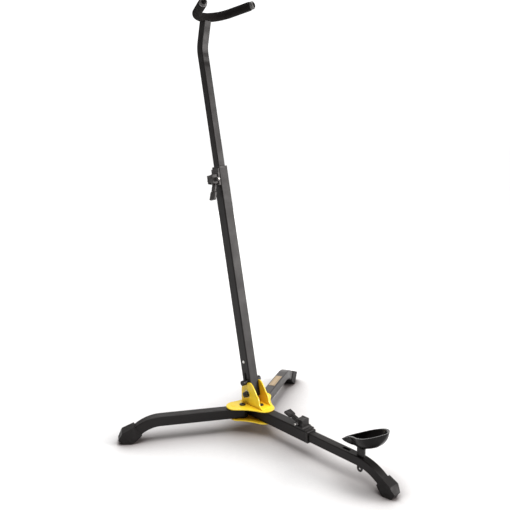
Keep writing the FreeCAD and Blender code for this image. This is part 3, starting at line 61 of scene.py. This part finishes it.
# ------------------------------------------------------------------ materials
class Mat:
    """A node material with a few shorthands."""

    def __init__(self, name):
        self.m = bpy.data.materials.new(name)
        self.m.use_nodes = True
        self.t = self.m.node_tree
        self.t.nodes.clear()
        self.out = self.t.nodes.new("ShaderNodeOutputMaterial")
        self.b = self.t.nodes.new("ShaderNodeBsdfPrincipled")
        self.t.links.new(self.b.outputs[0], self.out.inputs[0])
        self.coord = self.t.nodes.new("ShaderNodeTexCoord").outputs["Object"]
        self.height = None

    def link(self, a, b):
        self.t.links.new(a, b)

    def set(self, **values):
        for k, v in values.items():
            self.b.inputs[k.replace("_", " ")].default_value = v
        return self

    def node(self, kind, **props):
        n = self.t.nodes.new(kind)
        for k, v in props.items():
            setattr(n, k, v)
        return n

    def rotated(self, source, axis, angle, centre=(0, 0, 0)):
        n = self.node("ShaderNodeVectorRotate", rotation_type=axis + "_AXIS")
        self.link(source, n.inputs["Vector"])
        n.inputs["Center"].default_value = centre
        n.inputs["Angle"].default_value = angle
        return n.outputs[0]

    def scaled(self, source, s):
        n = self.node("ShaderNodeVectorMath", operation="MULTIPLY")
        self.link(source, n.inputs[0])
        n.inputs[1].default_value = s
        return n.outputs[0]

    def noise(self, scale, detail=2.0, rough=0.5, source=None, distortion=0.0):
        n = self.node("ShaderNodeTexNoise")
        self.link(source or self.coord, n.inputs["Vector"])
        n.inputs["Scale"].default_value = scale
        n.inputs["Detail"].default_value = detail
        n.inputs["Roughness"].default_value = rough
        n.inputs["Distortion"].default_value = distortion
        return n.outputs["Fac"]

    def cells(self, scale, source=None, feature="F1"):
        n = self.node("ShaderNodeTexVoronoi", feature=feature)
        self.link(source or self.coord, n.inputs["Vector"])
        n.inputs["Scale"].default_value = scale
        return n.outputs["Distance"]

    def ramp(self, source, low, high, a=0.0, b=1.0):
        n = self.node("ShaderNodeMapRange", interpolation_type="SMOOTHSTEP")
        self.link(source, n.inputs["Value"])
        for k, v in (("From Min", low), ("From Max", high), ("To Min", a), ("To Max", b)):
            n.inputs[k].default_value = v
        return n.outputs[0]

    def maths(self, op, a, b=None):
        n = self.node("ShaderNodeMath", operation=op)
        for k, v in enumerate((a, b)):
            if v is None:
                continue
            if isinstance(v, (int, float)):
                n.inputs[k].default_value = v
            else:
                self.link(v, n.inputs[k])
        return n.outputs[0]

    def mix(self, fac, a, b):
        n = self.node("ShaderNodeMix", data_type="RGBA")
        self.link(fac, n.inputs["Factor"])
        for name, v in (("A", a), ("B", b)):
            s = [i for i in n.inputs if i.name == name and i.type == "RGBA"][0]
            if isinstance(v, tuple):
                s.default_value = (*v, 1.0)
            else:
                self.link(v, s)
        return [o for o in n.outputs if o.type == "RGBA"][0]

    def colour(self, source):
        self.link(source, self.b.inputs["Base Color"])

    def roughness(self, source):
        self.link(source, self.b.inputs["Roughness"])

    def bump(self, source, distance, strength=1.0):
        n = self.node("ShaderNodeBump")
        n.inputs["Strength"].default_value = strength
        n.inputs["Distance"].default_value = distance
        self.link(source, n.inputs["Height"])
        if self.height is not None:
            self.link(self.height, n.inputs["Normal"])
        self.height = n.outputs[0]
        self.link(self.height, self.b.inputs["Normal"])

    def rounded(self, radius):
        """Softens the look of hard moulded edges."""
        n = self.node("ShaderNodeBevel", samples=4)
        n.inputs["Radius"].default_value = radius
        if self.height is not None:
            self.link(self.height, n.inputs["Normal"])
        self.height = n.outputs[0]
        self.link(self.height, self.b.inputs["Normal"])

    def edges(self, radius, low=0.72, high=0.985):
        """1 along convex and concave edges, 0 on the flats."""
        n = self.node("ShaderNodeBevel", samples=4)
        n.inputs["Radius"].default_value = radius
        g = self.node("ShaderNodeNewGeometry")
        d = self.node("ShaderNodeVectorMath", operation="DOT_PRODUCT")
        self.link(n.outputs[0], d.inputs[0])
        self.link(g.outputs["True Normal"], d.inputs[1])
        return self.ramp(d.outputs["Value"], low, high, 1.0, 0.0)


def powder_coat(name, dark, light, rough=(0.32, 0.44), axis=None, peel=0.00005, worn=(0.07, 0.068, 0.066), spec=0.24, bend=None):
    """Baked powder coat: orange peel, slow tone changes, fine scuffs along the tube."""
    m = Mat(name)
    m.set(Specular_IOR_Level=spec, IOR=1.5)
    along = m.coord
    if axis:
        for turn, angle in axis:
            along = m.rotated(along, turn, math.radians(angle))
    slow = m.noise(9.0, 3.0, 0.55)
    base = m.mix(slow, dark, light)
    streak = m.noise(1.0, 4.0, 0.6, m.scaled(along, (520.0, 520.0, 14.0)))
    scuff_area = m.ramp(m.noise(14.0, 3.0, 0.6), 0.55, 0.72)
    scuff = m.maths("MULTIPLY", m.ramp(streak, 0.62, 0.74), scuff_area)
    m.colour(m.mix(m.maths("MULTIPLY", scuff, 0.35), base, worn))
    grain = m.noise(420.0, 3.0, 0.6)
    r = m.ramp(m.noise(26.0, 4.0, 0.6), 0.3, 0.7, rough[0], rough[1])
    m.roughness(m.maths("ADD", r, m.maths("MULTIPLY", scuff, 0.12)))
    m.bump(grain, peel, 0.8)
    m.bump(m.noise(2400.0, 2.0, 0.5), peel * 0.25, 0.7)
    if bend:
        # shallow press marks across the tube where it was bent
        move = m.node("ShaderNodeVectorMath", operation="SUBTRACT")
        m.link(m.coord, move.inputs[0])
        move.inputs[1].default_value = tuple(PIVOT * MM)
        up = m.node("ShaderNodeSeparateXYZ")
        m.link(m.rotated(move.outputs[0], "Y", math.radians(LEAN)), up.inputs[0])
        total = None
        for centre, half in bend:
            off = m.maths("ABSOLUTE", m.maths("SUBTRACT", up.outputs["Z"], centre))
            one = m.ramp(off, 0.0, half, 1.0, 0.0)
            total = one if total is None else m.maths("ADD", total, one)
        m.bump(m.maths("MULTIPLY", total, -1.0), 0.0009, 0.8)
    return m.m


def make_materials():
    M = {}
    along_mast = [("Y", LEAN)]
    along_front = [("Y", -90.0)]
    dark, light = (0.0060, 0.0049, 0.0047), (0.0100, 0.0084, 0.0081)
    M["mast_coat"] = powder_coat("mast_powder_coat", dark, light, axis=along_mast)
    M["upper_coat"] = powder_coat("upper_mast_powder_coat", dark, light, axis=along_mast, bend=((0.742, 0.012), (0.800, 0.014)))
    M["front_coat"] = powder_coat("front_leg_powder_coat", dark, light, axis=along_front)
    M["left_coat"] = powder_coat("left_leg_powder_coat", dark, light, axis=[("Z", 119.0), ("Y", -90.0)])
    # painted light: the rear leg gets a lighter, shinier copy of the same powder coat so that it reads brighter than
    # the other legs
    M["rear_coat_painted_light"] = powder_coat("rear_leg_coat_painted_light", (0.026, 0.0235, 0.023), (0.038, 0.035, 0.034), spec=0.42, axis=[("Z", -119.0), ("Y", -90.0)])

    # yellow sheet steel
    m = Mat("yellow_powder_coat")
    m.set(Specular_IOR_Level=0.5, Coat_Weight=0.15, Coat_Roughness=0.22)
    base = m.mix(m.noise(16.0, 3.0), (0.91, 0.640, 0.022), (0.95, 0.690, 0.034))
    edge = m.edges(0.0009)
    chips = m.maths("MULTIPLY", edge, m.ramp(m.noise(210.0, 4.0, 0.65), 0.60, 0.70))
    rub = m.maths("MULTIPLY", m.ramp(m.noise(60.0, 4.0, 0.6), 0.58, 0.75), 0.22)
    base = m.mix(rub, base, (0.76, 0.48, 0.010))
    # painted shade: the yellow is darkened towards orange where ambient occlusion finds nearby parts, in corners and
    # between the ears
    painted_shade_ao = m.node("ShaderNodeAmbientOcclusion", samples=8)
    painted_shade_ao.inputs["Distance"].default_value = 0.035
    base = m.mix(m.ramp(painted_shade_ao.outputs["AO"], 0.22, 0.80, 0.80, 0.0), base, (0.72, 0.370, 0.008))
    m.colour(m.mix(m.maths("MULTIPLY", chips, 0.55), base, (0.46, 0.27, 0.03)))
    m.roughness(m.ramp(m.noise(40.0, 4.0, 0.6), 0.3, 0.7, 0.30, 0.42))
    m.bump(m.noise(380.0, 3.0, 0.6), 0.00006, 0.8)
    m.bump(m.noise(2200.0, 2.0, 0.5), 0.000012, 0.7)
    M["yellow"] = m.m

    # moulded rubber of the boots
    m = Mat("boot_rubber")
    m.set(Specular_IOR_Level=0.26)
    dust = m.ramp(m.noise(48.0, 5.0, 0.65), 0.48, 0.74)
    base = m.mix(dust, (0.0075, 0.0064, 0.0062), (0.0155, 0.0138, 0.0134))
    z = m.node("ShaderNodeSeparateXYZ")
    m.link(m.coord, z.inputs[0])
    low = m.ramp(z.outputs["Z"], 0.0, 0.007, 0.55, 0.0)
    base = m.mix(m.maths("MULTIPLY", low, m.noise(160.0, 3.0)), base, (0.075, 0.070, 0.064))
    m.colour(base)
    m.roughness(m.ramp(m.noise(70.0, 4.0), 0.3, 0.7, 0.50, 0.66))
    m.rounded(0.0011)
    m.bump(m.noise(1500.0, 4.0, 0.7), 0.00006, 0.9)
    m.bump(m.cells(900.0), 0.00004, 0.5)
    M["rubber"] = m.m

    # glass-filled nylon of clamps, collars and plugs
    m = Mat("moulded_nylon")
    m.set(Specular_IOR_Level=0.30)
    base = m.mix(m.noise(60.0, 3.0), (0.0105, 0.0090, 0.0087), (0.0180, 0.0158, 0.0153))
    edge = m.edges(0.0006)
    rub = m.maths("MULTIPLY", edge, m.ramp(m.noise(120.0, 4.0, 0.6), 0.40, 0.70))
    m.colour(m.mix(m.maths("MULTIPLY", rub, 0.6), base, (0.085, 0.082, 0.078)))
    m.roughness(m.ramp(m.noise(150.0, 4.0), 0.3, 0.7, 0.34, 0.52))
    m.rounded(0.0005)
    m.bump(m.noise(2600.0, 3.0, 0.65), 0.00005, 0.9)
    M["nylon"] = m.m

    # glossy moulding of the cup
    m = Mat("cup_gloss")
    m.set(Specular_IOR_Level=0.14)
    base = m.mix(m.noise(30.0, 3.0), (0.0022, 0.0018, 0.0017), (0.0042, 0.0034, 0.0033))
    hair = m.ramp(m.noise(1.0, 5.0, 0.65, m.scaled(m.rotated(m.coord, "Y", math.radians(26.0)), (30.0, 900.0, 900.0))), 0.66, 0.74)
    m.colour(m.mix(m.maths("MULTIPLY", hair, 0.25), base, (0.024, 0.022, 0.021)))
    m.roughness(m.maths("ADD", m.ramp(m.noise(55.0, 4.0, 0.6), 0.3, 0.75, 0.20, 0.32), m.maths("MULTIPLY", hair, 0.15)))
    m.rounded(0.0012)
    m.bump(m.noise(65.0, 2.0, 0.4), 0.00012, 0.5)
    m.bump(m.noise(1800.0, 2.0), 0.000015, 0.7)
    M["cup"] = m.m

    # closed-cell foam
    m = Mat("foam_skin")
    m.set(Specular_IOR_Level=0.08)
    pores = m.cells(1150.0)
    fine = m.cells(2500.0)
    base = m.mix(m.noise(70.0, 4.0, 0.6), (0.0074, 0.0062, 0.0060), (0.0118, 0.0102, 0.0098))
    m.colour(m.mix(m.ramp(pores, 0.0, 0.34, 0.6, 0.0), base, (0.0035, 0.0033, 0.0032)))
    m.roughness(m.ramp(m.noise(90.0, 3.0), 0.3, 0.7, 0.80, 0.95))
    m.bump(m.noise(120.0, 4.0, 0.6), 0.00035, 0.5)
    m.bump(pores, 0.00022, 0.8)
    m.bump(fine, 0.00010, 0.6)
    M["foam"] = m.m

    # soft clear-grey vinyl of the end caps
    m = Mat("soft_vinyl")
    m.set(Specular_IOR_Level=0.35, Subsurface_Weight=0.25, Subsurface_Scale=0.004, Transmission_Weight=0.10)
    m.b.inputs["Subsurface Radius"].default_value = (1.0, 1.0, 1.0)
    base = m.mix(m.noise(130.0, 3.0), (0.052, 0.049, 0.048), (0.090, 0.086, 0.084))
    m.colour(base)
    m.roughness(m.ramp(m.noise(200.0, 3.0), 0.3, 0.7, 0.28, 0.44))
    m.bump(m.noise(900.0, 3.0), 0.00004, 0.8)
    M["vinyl"] = m.m

    # bright zinc plate
    m = Mat("zinc_plate")
    m.set(Metallic=1.0)
    base = m.mix(m.noise(240.0, 4.0, 0.6), (0.50, 0.50, 0.50), (0.68, 0.67, 0.64))
    m.colour(m.mix(m.ramp(m.noise(90.0, 4.0, 0.6), 0.58, 0.74), base, (0.36, 0.33, 0.28)))
    m.roughness(m.ramp(m.noise(500.0, 3.0), 0.3, 0.7, 0.24, 0.42))
    m.bump(m.noise(1.0, 3.0, 0.6, m.scaled(m.coord, (2400.0, 500.0, 2400.0))), 0.00003, 0.7)
    M["zinc"] = m.m

    # black oxide fasteners
    m = Mat("black_oxide")
    m.set(Metallic=0.55, Specular_IOR_Level=0.5)
    edge = m.edges(0.0006)
    base = m.mix(m.noise(260.0, 3.0), (0.018, 0.018, 0.019), (0.036, 0.034, 0.033))
    m.colour(m.mix(m.maths("MULTIPLY", edge, m.ramp(m.noise(300.0, 4.0), 0.45, 0.7)), base, (0.16, 0.15, 0.14)))
    m.roughness(m.ramp(m.noise(420.0, 3.0), 0.3, 0.7, 0.30, 0.46))
    m.bump(m.noise(1700.0, 3.0), 0.00003, 0.7)
    M["oxide"] = m.m

    # clamp bolts: blackened, with a bright cut end on the nut's side
    for key, name, axis, low, high in (("leg_bolt", "leg_clamp_bolt_plate", "Y", -0.0176, -0.0180), ("mast_bolt", "mast_clamp_bolt_plate", "X", None, None)):
        m = Mat(name)
        if low is None:
            a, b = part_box("mast_clamp_bolt")
            low, high = b.x - 0.0040, b.x - 0.0036
        pos = m.node("ShaderNodeSeparateXYZ")
        m.link(m.coord, pos.inputs[0])
        bare = m.ramp(pos.outputs[axis], min(low, high), max(low, high), 1.0 if axis == "Y" else 0.0, 0.0 if axis == "Y" else 1.0)
        m.set(Metallic=0.8, Specular_IOR_Level=0.5)
        base = m.mix(m.noise(260.0, 3.0), (0.018, 0.017, 0.017), (0.036, 0.034, 0.033))
        m.colour(m.mix(bare, base, m.mix(m.noise(300.0, 3.0), (0.24, 0.235, 0.23), (0.38, 0.37, 0.355))))
        m.roughness(m.ramp(m.noise(420.0, 3.0), 0.3, 0.7, 0.26, 0.40))
        m.bump(m.noise(1700.0, 3.0), 0.00003, 0.7)
        M[key] = m.m

    # painted light: a lighter copy of the black nylon for the mast's clamp, so that it reads as lit
    m = Mat("clamp_nylon_painted_light")
    m.set(Specular_IOR_Level=0.34)
    base = m.mix(m.noise(60.0, 3.0), (0.026, 0.0235, 0.023), (0.040, 0.0365, 0.0355))
    edge = m.edges(0.0006)
    m.colour(m.mix(m.maths("MULTIPLY", edge, m.ramp(m.noise(120.0, 4.0, 0.6), 0.40, 0.70, 0.0, 0.5)), base, (0.10, 0.096, 0.092)))
    m.roughness(m.ramp(m.noise(150.0, 4.0), 0.3, 0.7, 0.38, 0.55))
    m.rounded(0.0005)
    m.bump(m.noise(2600.0, 3.0, 0.65), 0.00005, 0.9)
    M["clamp"] = m.m

    # painted marks on the sliding front tube
    m = Mat("mark_paint")
    m.set(Specular_IOR_Level=0.3)
    m.colour(m.mix(m.noise(300.0, 3.0), (0.030, 0.029, 0.028), (0.060, 0.057, 0.055)))
    m.roughness(m.ramp(m.noise(400.0, 3.0), 0.3, 0.7, 0.45, 0.6))
    m.bump(m.noise(2000.0, 2.0), 0.00002, 0.7)
    M["mark"] = m.m

    # blank tan foil plate on the rear leg, with a plain border line
    m = Mat("tan_foil")
    m.set(Specular_IOR_Level=0.5, Metallic=0.25)
    n = m.node("ShaderNodeVectorMath", operation="SUBTRACT")
    m.link(m.coord, n.inputs[0])
    n.inputs[1].default_value = (HUB_X * MM, 0, 0)
    local = m.rotated(n.outputs[0], "Z", math.radians(-119.0))
    s = m.node("ShaderNodeSeparateXYZ")
    m.link(local, s.inputs[0])
    px = m.maths("ABSOLUTE", m.maths("SUBTRACT", s.outputs["X"], 0.150))
    py = m.maths("ABSOLUTE", s.outputs["Y"])
    inside = m.maths("MULTIPLY", m.ramp(px, 0.0286, 0.0289, 1.0, 0.0), m.ramp(py, 0.0053, 0.0056, 1.0, 0.0))
    core = m.maths("MULTIPLY", m.ramp(px, 0.0277, 0.0280, 1.0, 0.0), m.ramp(py, 0.0044, 0.0047, 1.0, 0.0))
    line = m.maths("SUBTRACT", inside, core)
    brush = m.noise(1.0, 3.0, 0.6, m.scaled(local, (60.0, 2600.0, 60.0)))
    base = m.mix(brush, (0.40, 0.285, 0.160), (0.52, 0.385, 0.225))
    m.colour(m.mix(m.maths("MULTIPLY", line, 0.75), base, (0.10, 0.065, 0.035)))
    m.roughness(m.ramp(m.noise(300.0, 3.0), 0.3, 0.7, 0.30, 0.44))
    m.bump(brush, 0.00002, 0.8)
    M["foil"] = m.m
    return M


M = make_materials()
LOOKS = {
    "mast_coat": ["mast_lower_tube"],
    "upper_coat": ["mast_upper_tube"],
    "front_coat": ["front_leg_tube", "front_leg_extension"],
    "left_coat": ["left_leg_tube"],
    "rear_coat_painted_light": ["rear_leg_tube"],
    "yellow": ["base_plate_top", "base_plate_bottom", "mast_bracket"],
    "rubber": ["left_foot_cap", "rear_foot_cap", "front_foot_cap"],
    "clamp": ["mast_clamp_block", "mast_clamp_lever"],
    "leg_bolt": ["leg_clamp_bolt"],
    "mast_bolt": ["mast_clamp_bolt"],
    "nylon": ["leg_clamp_block", "leg_clamp_shoe", "leg_clamp_lever", "mast_clamp_shoe",
              "front_leg_collar", "mast_guide_collar", "extension_guide_plug", "mast_guide_plug",
              "yoke_plug", "lock_pin_knobs", "cup_post", "swivel_washers"],
    "cup": ["instrument_cup"],
    "foam": ["yoke_foam"],
    "vinyl": ["yoke_end_caps"],
    "zinc": ["lock_pin", "lock_spring", "spring_anchor_rivet", "swivel_sleeves",
             "yoke_rod", "swivel_nuts", "hub_nuts", "mast_pivot_washers"],
    "oxide": ["hub_bolts", "swivel_bolts", "leg_clamp_nut", "mast_clamp_nut", "mast_pivot_bolt", "mast_pivot_nut"],
    "foil": ["rear_leg_label"],
}


def paint(obj, key):
    obj.data.materials.clear()
    obj.data.materials.append(M[key])


for key, names in LOOKS.items():
    for n in names:
        if n in nodes:
            paint(nodes[n], key)


# -------------------------------------------------------------------- pieces
def new_piece(name, bm, body, key, smooth=True):
    me = bpy.data.meshes.new(name)
    bmesh.ops.recalc_face_normals(bm, faces=bm.faces)
    bm.to_mesh(me)
    bm.free()
    for p in me.polygons:
        p.use_smooth = smooth
    o = bpy.data.objects.new(name, me)
    bpy.context.scene.collection.objects.link(o)
    o.data.materials.append(M[key])
    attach(o, body)
    return o


def mm(v):
    return Vector(v) * MM


# foam sleeve of the yoke: swept sleeve with soft ends and creases inside the bend
def yoke_point(s):
    """Centre line from the near tip (s = 0) to the far tip (s = 1) with its tangent, in the yoke's frame."""
    jx, jy = YOKE_R - YOKE_R * math.sin(FLARE), YOKE_R * math.cos(FLARE)
    run = (YOKE_REACH - jx) / math.cos(FLARE) - 6.5
    arc = YOKE_R * 2 * (math.pi / 2 - FLARE)
    total = 2 * run + arc
    d = s * total
    out = (math.cos(FLARE), math.sin(FLARE))
    if d <= run:
        k = run - d
        return Vector((jx + out[0] * k, -(jy + out[1] * k), 0)), Vector((-out[0], out[1], 0)), 0.0
    if d >= run + arc:
        k = d - run - arc
        return Vector((jx + out[0] * k, jy + out[1] * k, 0)), Vector((out[0], out[1], 0)), 0.0
    a = -(math.pi / 2 - FLARE) + (d - run) / YOKE_R
    return Vector((YOKE_R - YOKE_R * math.cos(a), YOKE_R * math.sin(a), 0)), Vector((math.sin(a), math.cos(a), 0)), 1.0


def foam_sleeve():
    bm = bmesh.new()
    rings, around = 260, 56
    rows = []
    for i in range(rings + 1):
        s = i / rings
        p, t, bend = yoke_point(s)
        side = Vector((0, 0, 1)).cross(t).normalized()       # towards the outside of the bend or the inside
        inward = (Vector((YOKE_R, 0, 0)) - p).normalized() if bend else Vector((0, 0, 0))
        end = min(s, 1 - s) * rings
        lip = 0.0 if end > 5 else (1 - end / 5.0) ** 2 * 1.1   # rounded, slightly pulled-in ends
        row = []
        for k in range(around):
            a = 2 * math.pi * k / around
            n = side * math.cos(a) + Vector((0, 0, 1)) * math.sin(a)
            r = FOAM_R - lip
            q = p + n * r
            wobble = noise.fractal(q * 0.09, 0.8, 2.0, 3) * 0.16 + noise.noise(q * 0.35) * 0.06
            if bend:
                face = max(0.0, n.dot(inward))
                crease = 0.5 + 0.5 * math.sin(s * 520.0 + 2.2 * noise.noise(q * 0.05))
                wobble -= 0.34 * face ** 2 * crease ** 3
                under = max(0.0, 0.6 - abs(n.z + 0.8)) * max(0.0, 1 - abs(s - 0.5) * 14)
                wobble -= 0.7 * under                           # pressed where the neck enters
            row.append(bm.verts.new(mm(YOKE_M @ (p + n * (r + min(wobble, 0.16))))))
        rows.append(row)
    for a, b in zip(rows, rows[1:]):
        for k in range(around):
            bm.faces.new((a[k], a[(k + 1) % around], b[(k + 1) % around], b[k]))
    for row, s in ((rows[0], 0.0), (rows[-1], 1.0)):           # end faces down to the rod
        p, t, _ = yoke_point(s)
        side = Vector((0, 0, 1)).cross(t).normalized()
        prev = row
        for r in (7.4, 5.6, 4.05):
            ring = []
            for k in range(around):
                a = 2 * math.pi * k / around
                n = side * math.cos(a) + Vector((0, 0, 1)) * math.sin(a)
                ring.append(bm.verts.new(mm(YOKE_M @ (p + n * r))))
            for k in range(around):
                bm.faces.new((prev[k], prev[(k + 1) % around], ring[(k + 1) % around], ring[k]))
            prev = ring
        bm.faces.new(prev)
    o = new_piece("foam_sleeve", bm, "mast_upper", "foam")
    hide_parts("yoke_foam")
    return o


foam_sleeve()


def graduations():
    """Plain marks across the top of the sliding front tube."""
    low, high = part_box("front_leg_extension")
    top = high.z
    bm = bmesh.new()
    for k in range(15):
        x = (176.0 + 5.0 * k + HUB_X) * MM
        w, l, h = 0.00035, 0.0052 if k % 5 else 0.0068, 0.00012
        verts = []
        for z, t in ((top - 0.0002, 1.0), (top + h, 0.72)):
            for sx, sy in ((-1, -1), (1, -1), (1, 1), (-1, 1)):
                verts.append(bm.verts.new((x + sx * w * t, sy * (l - (1 - t) * 0.0004), z)))
        a, b = verts[:4], verts[4:]
        bm.faces.new(list(reversed(a)))
        bm.faces.new(b)
        for i in range(4):
            bm.faces.new((a[i], a[(i + 1) % 4], b[(i + 1) % 4], b[i]))
    return new_piece("extension_graduations", bm, "front_extension", "mark", smooth=False)


def rod_ends():
    """Dark domed rod ends that show in the middle of the two end caps."""
    jx, jy = YOKE_R - YOKE_R * math.sin(FLARE), YOKE_R * math.cos(FLARE)
    run = (YOKE_REACH - jx) / math.cos(FLARE)
    for name, sign in (("rod_end_near", -1), ("rod_end_far", 1)):
        bm = bmesh.new()
        out = Vector((math.cos(FLARE), sign * math.sin(FLARE), 0))
        base = Vector((jx, sign * jy, 0)) + out * (run + 0.9)
        side = Vector((0, 0, 1)).cross(out).normalized()
        prev = None
        profile = [(5.0, 0.0), (5.0, 0.35), (4.7, 0.62), (4.1, 0.70), (3.7, 0.45), (3.3, 0.42), (2.2, 0.62), (1.1, 0.74), (0.3, 0.78)]
        for r, t in profile:
            ring = [bm.verts.new(mm(YOKE_M @ (base + out * t + side * r * math.cos(2 * math.pi * k / 40) + Vector((0, 0, 1)) * r * math.sin(2 * math.pi * k / 40)))) for k in range(40)]
            if prev:
                for k in range(40):
                    bm.faces.new((prev[k], prev[(k + 1) % 40], ring[(k + 1) % 40], ring[k]))
            else:
                bm.faces.new(list(reversed(ring)))
            prev = ring
        bm.faces.new(prev)
        new_piece(name, bm, "mast_upper", "cup")


graduations()
rod_ends()

# ------------------------------------------------------------ floor and light
bm = bmesh.new()
size, cells = 60.0, 12
bmesh.ops.create_grid(bm, x_segments=cells, y_segments=cells, size=size)
me = bpy.data.meshes.new("studio_floor")
bm.to_mesh(me)
bm.free()
floor = bpy.data.objects.new("studio_floor", me)
bpy.context.scene.collection.objects.link(floor)
floor.location = (0, 0, -0.0002)
m = Mat("studio_floor")
m.set(Specular_IOR_Level=0.0)
# painted shadow: the floor colour is darkened towards warm grey by ambient occlusion under and around the stand
floor_painted_shadow_ao = m.node("ShaderNodeAmbientOcclusion", samples=32)
floor_painted_shadow_ao.inputs["Distance"].default_value = 0.32
tone = m.mix(m.noise(2.5, 3.0), (0.925, 0.925, 0.925), (0.935, 0.935, 0.935))
m.colour(m.mix(m.maths("POWER", floor_painted_shadow_ao.outputs["AO"], 3.0), (0.20, 0.176, 0.172), tone))
m.set(Roughness=0.9)
floor.data.materials.append(m.m)

world = bpy.data.worlds.new("studio")
bpy.context.scene.world = world
world.use_nodes = True
wt = world.node_tree
wt.nodes.clear()
wo = wt.nodes.new("ShaderNodeOutputWorld")
amb = wt.nodes.new("ShaderNodeBackground")
amb.inputs["Color"].default_value = (1.0, 0.955, 0.945, 1)
amb.inputs["Strength"].default_value = 0.12
shine = wt.nodes.new("ShaderNodeBackground")
shine.inputs["Color"].default_value = (1.0, 0.965, 0.955, 1)
shine.inputs["Strength"].default_value = 0.30
seen = wt.nodes.new("ShaderNodeBackground")
seen.inputs["Color"].default_value = (1.0, 1.0, 1.0, 1)
seen.inputs["Strength"].default_value = 1.15
path = wt.nodes.new("ShaderNodeLightPath")
mixer = wt.nodes.new("ShaderNodeMixShader")
wt.links.new(path.outputs["Is Camera Ray"], mixer.inputs[0])
gloss = wt.nodes.new("ShaderNodeMixShader")
wt.links.new(path.outputs["Is Glossy Ray"], gloss.inputs[0])
wt.links.new(amb.outputs[0], gloss.inputs[1])
wt.links.new(shine.outputs[0], gloss.inputs[2])
wt.links.new(gloss.outputs[0], mixer.inputs[1])
wt.links.new(seen.outputs[0], mixer.inputs[2])
wt.links.new(mixer.outputs[0], wo.inputs[0])


def panel(name, at, aim, sx, sy, watts, colour=(1, 1, 1)):
    light = bpy.data.lights.new(name, "AREA")
    light.shape = "RECTANGLE"
    light.size, light.size_y = sx, sy
    light.energy = watts
    light.color = colour
    o = bpy.data.objects.new(name, light)
    bpy.context.scene.collection.objects.link(o)
    o.location = at
    o.rotation_euler = (Vector(aim) - Vector(at)).to_track_quat("-Z", "Y").to_euler()
    o.visible_camera = False
    return o


sun = bpy.data.lights.new("overhead_soft_light", "SUN")
sun.energy = 3.15
sun.angle = math.radians(50)
so = bpy.data.objects.new("overhead_soft_light", sun)
bpy.context.scene.collection.objects.link(so)
so.location = (0, 0, 3)
so.rotation_euler = Vector((-0.10, 0.10, -1.0)).to_track_quat("-Z", "Y").to_euler()
panel("back_softbox", (-3.1, 2.7, 0.95), (-0.1, 0.0, 0.1), 4.2, 1.5, 30, (1.0, 0.97, 0.955))
panel("side_softbox", (2.1, 1.8, 0.95), (-0.1, 0.0, 0.45), 1.6, 2.0, 92, (1.0, 0.965, 0.95))

# -------------------------------------------------------------------- camera
cam_data = bpy.data.cameras.new("camera")
cam_data.sensor_width = 36.0
cam_data.sensor_fit = "HORIZONTAL"
cam_data.lens = 44.38
cam_data.clip_end = 100.0
cam = bpy.data.objects.new("camera", cam_data)
bpy.context.scene.collection.objects.link(cam)
r = Vector((0.66532655, 0.7465298, -0.00581661))
u = Vector((-0.13753186, 0.13022243, 0.98189974))
d = Vector((-0.73377487, 0.65248401, -0.18931207))
cam.matrix_world = Matrix((
    (r.x, u.x, -d.x, (990.606 + HUB_X) * MM),
    (r.y, u.y, -d.y, -0.879158),
    (r.z, u.z, -d.z, 0.654490),
    (0, 0, 0, 1),
))
bpy.context.scene.camera = cam
bpy.context.scene.view_settings.view_transform = "Standard"
bpy.context.scene.view_settings.look = "None"
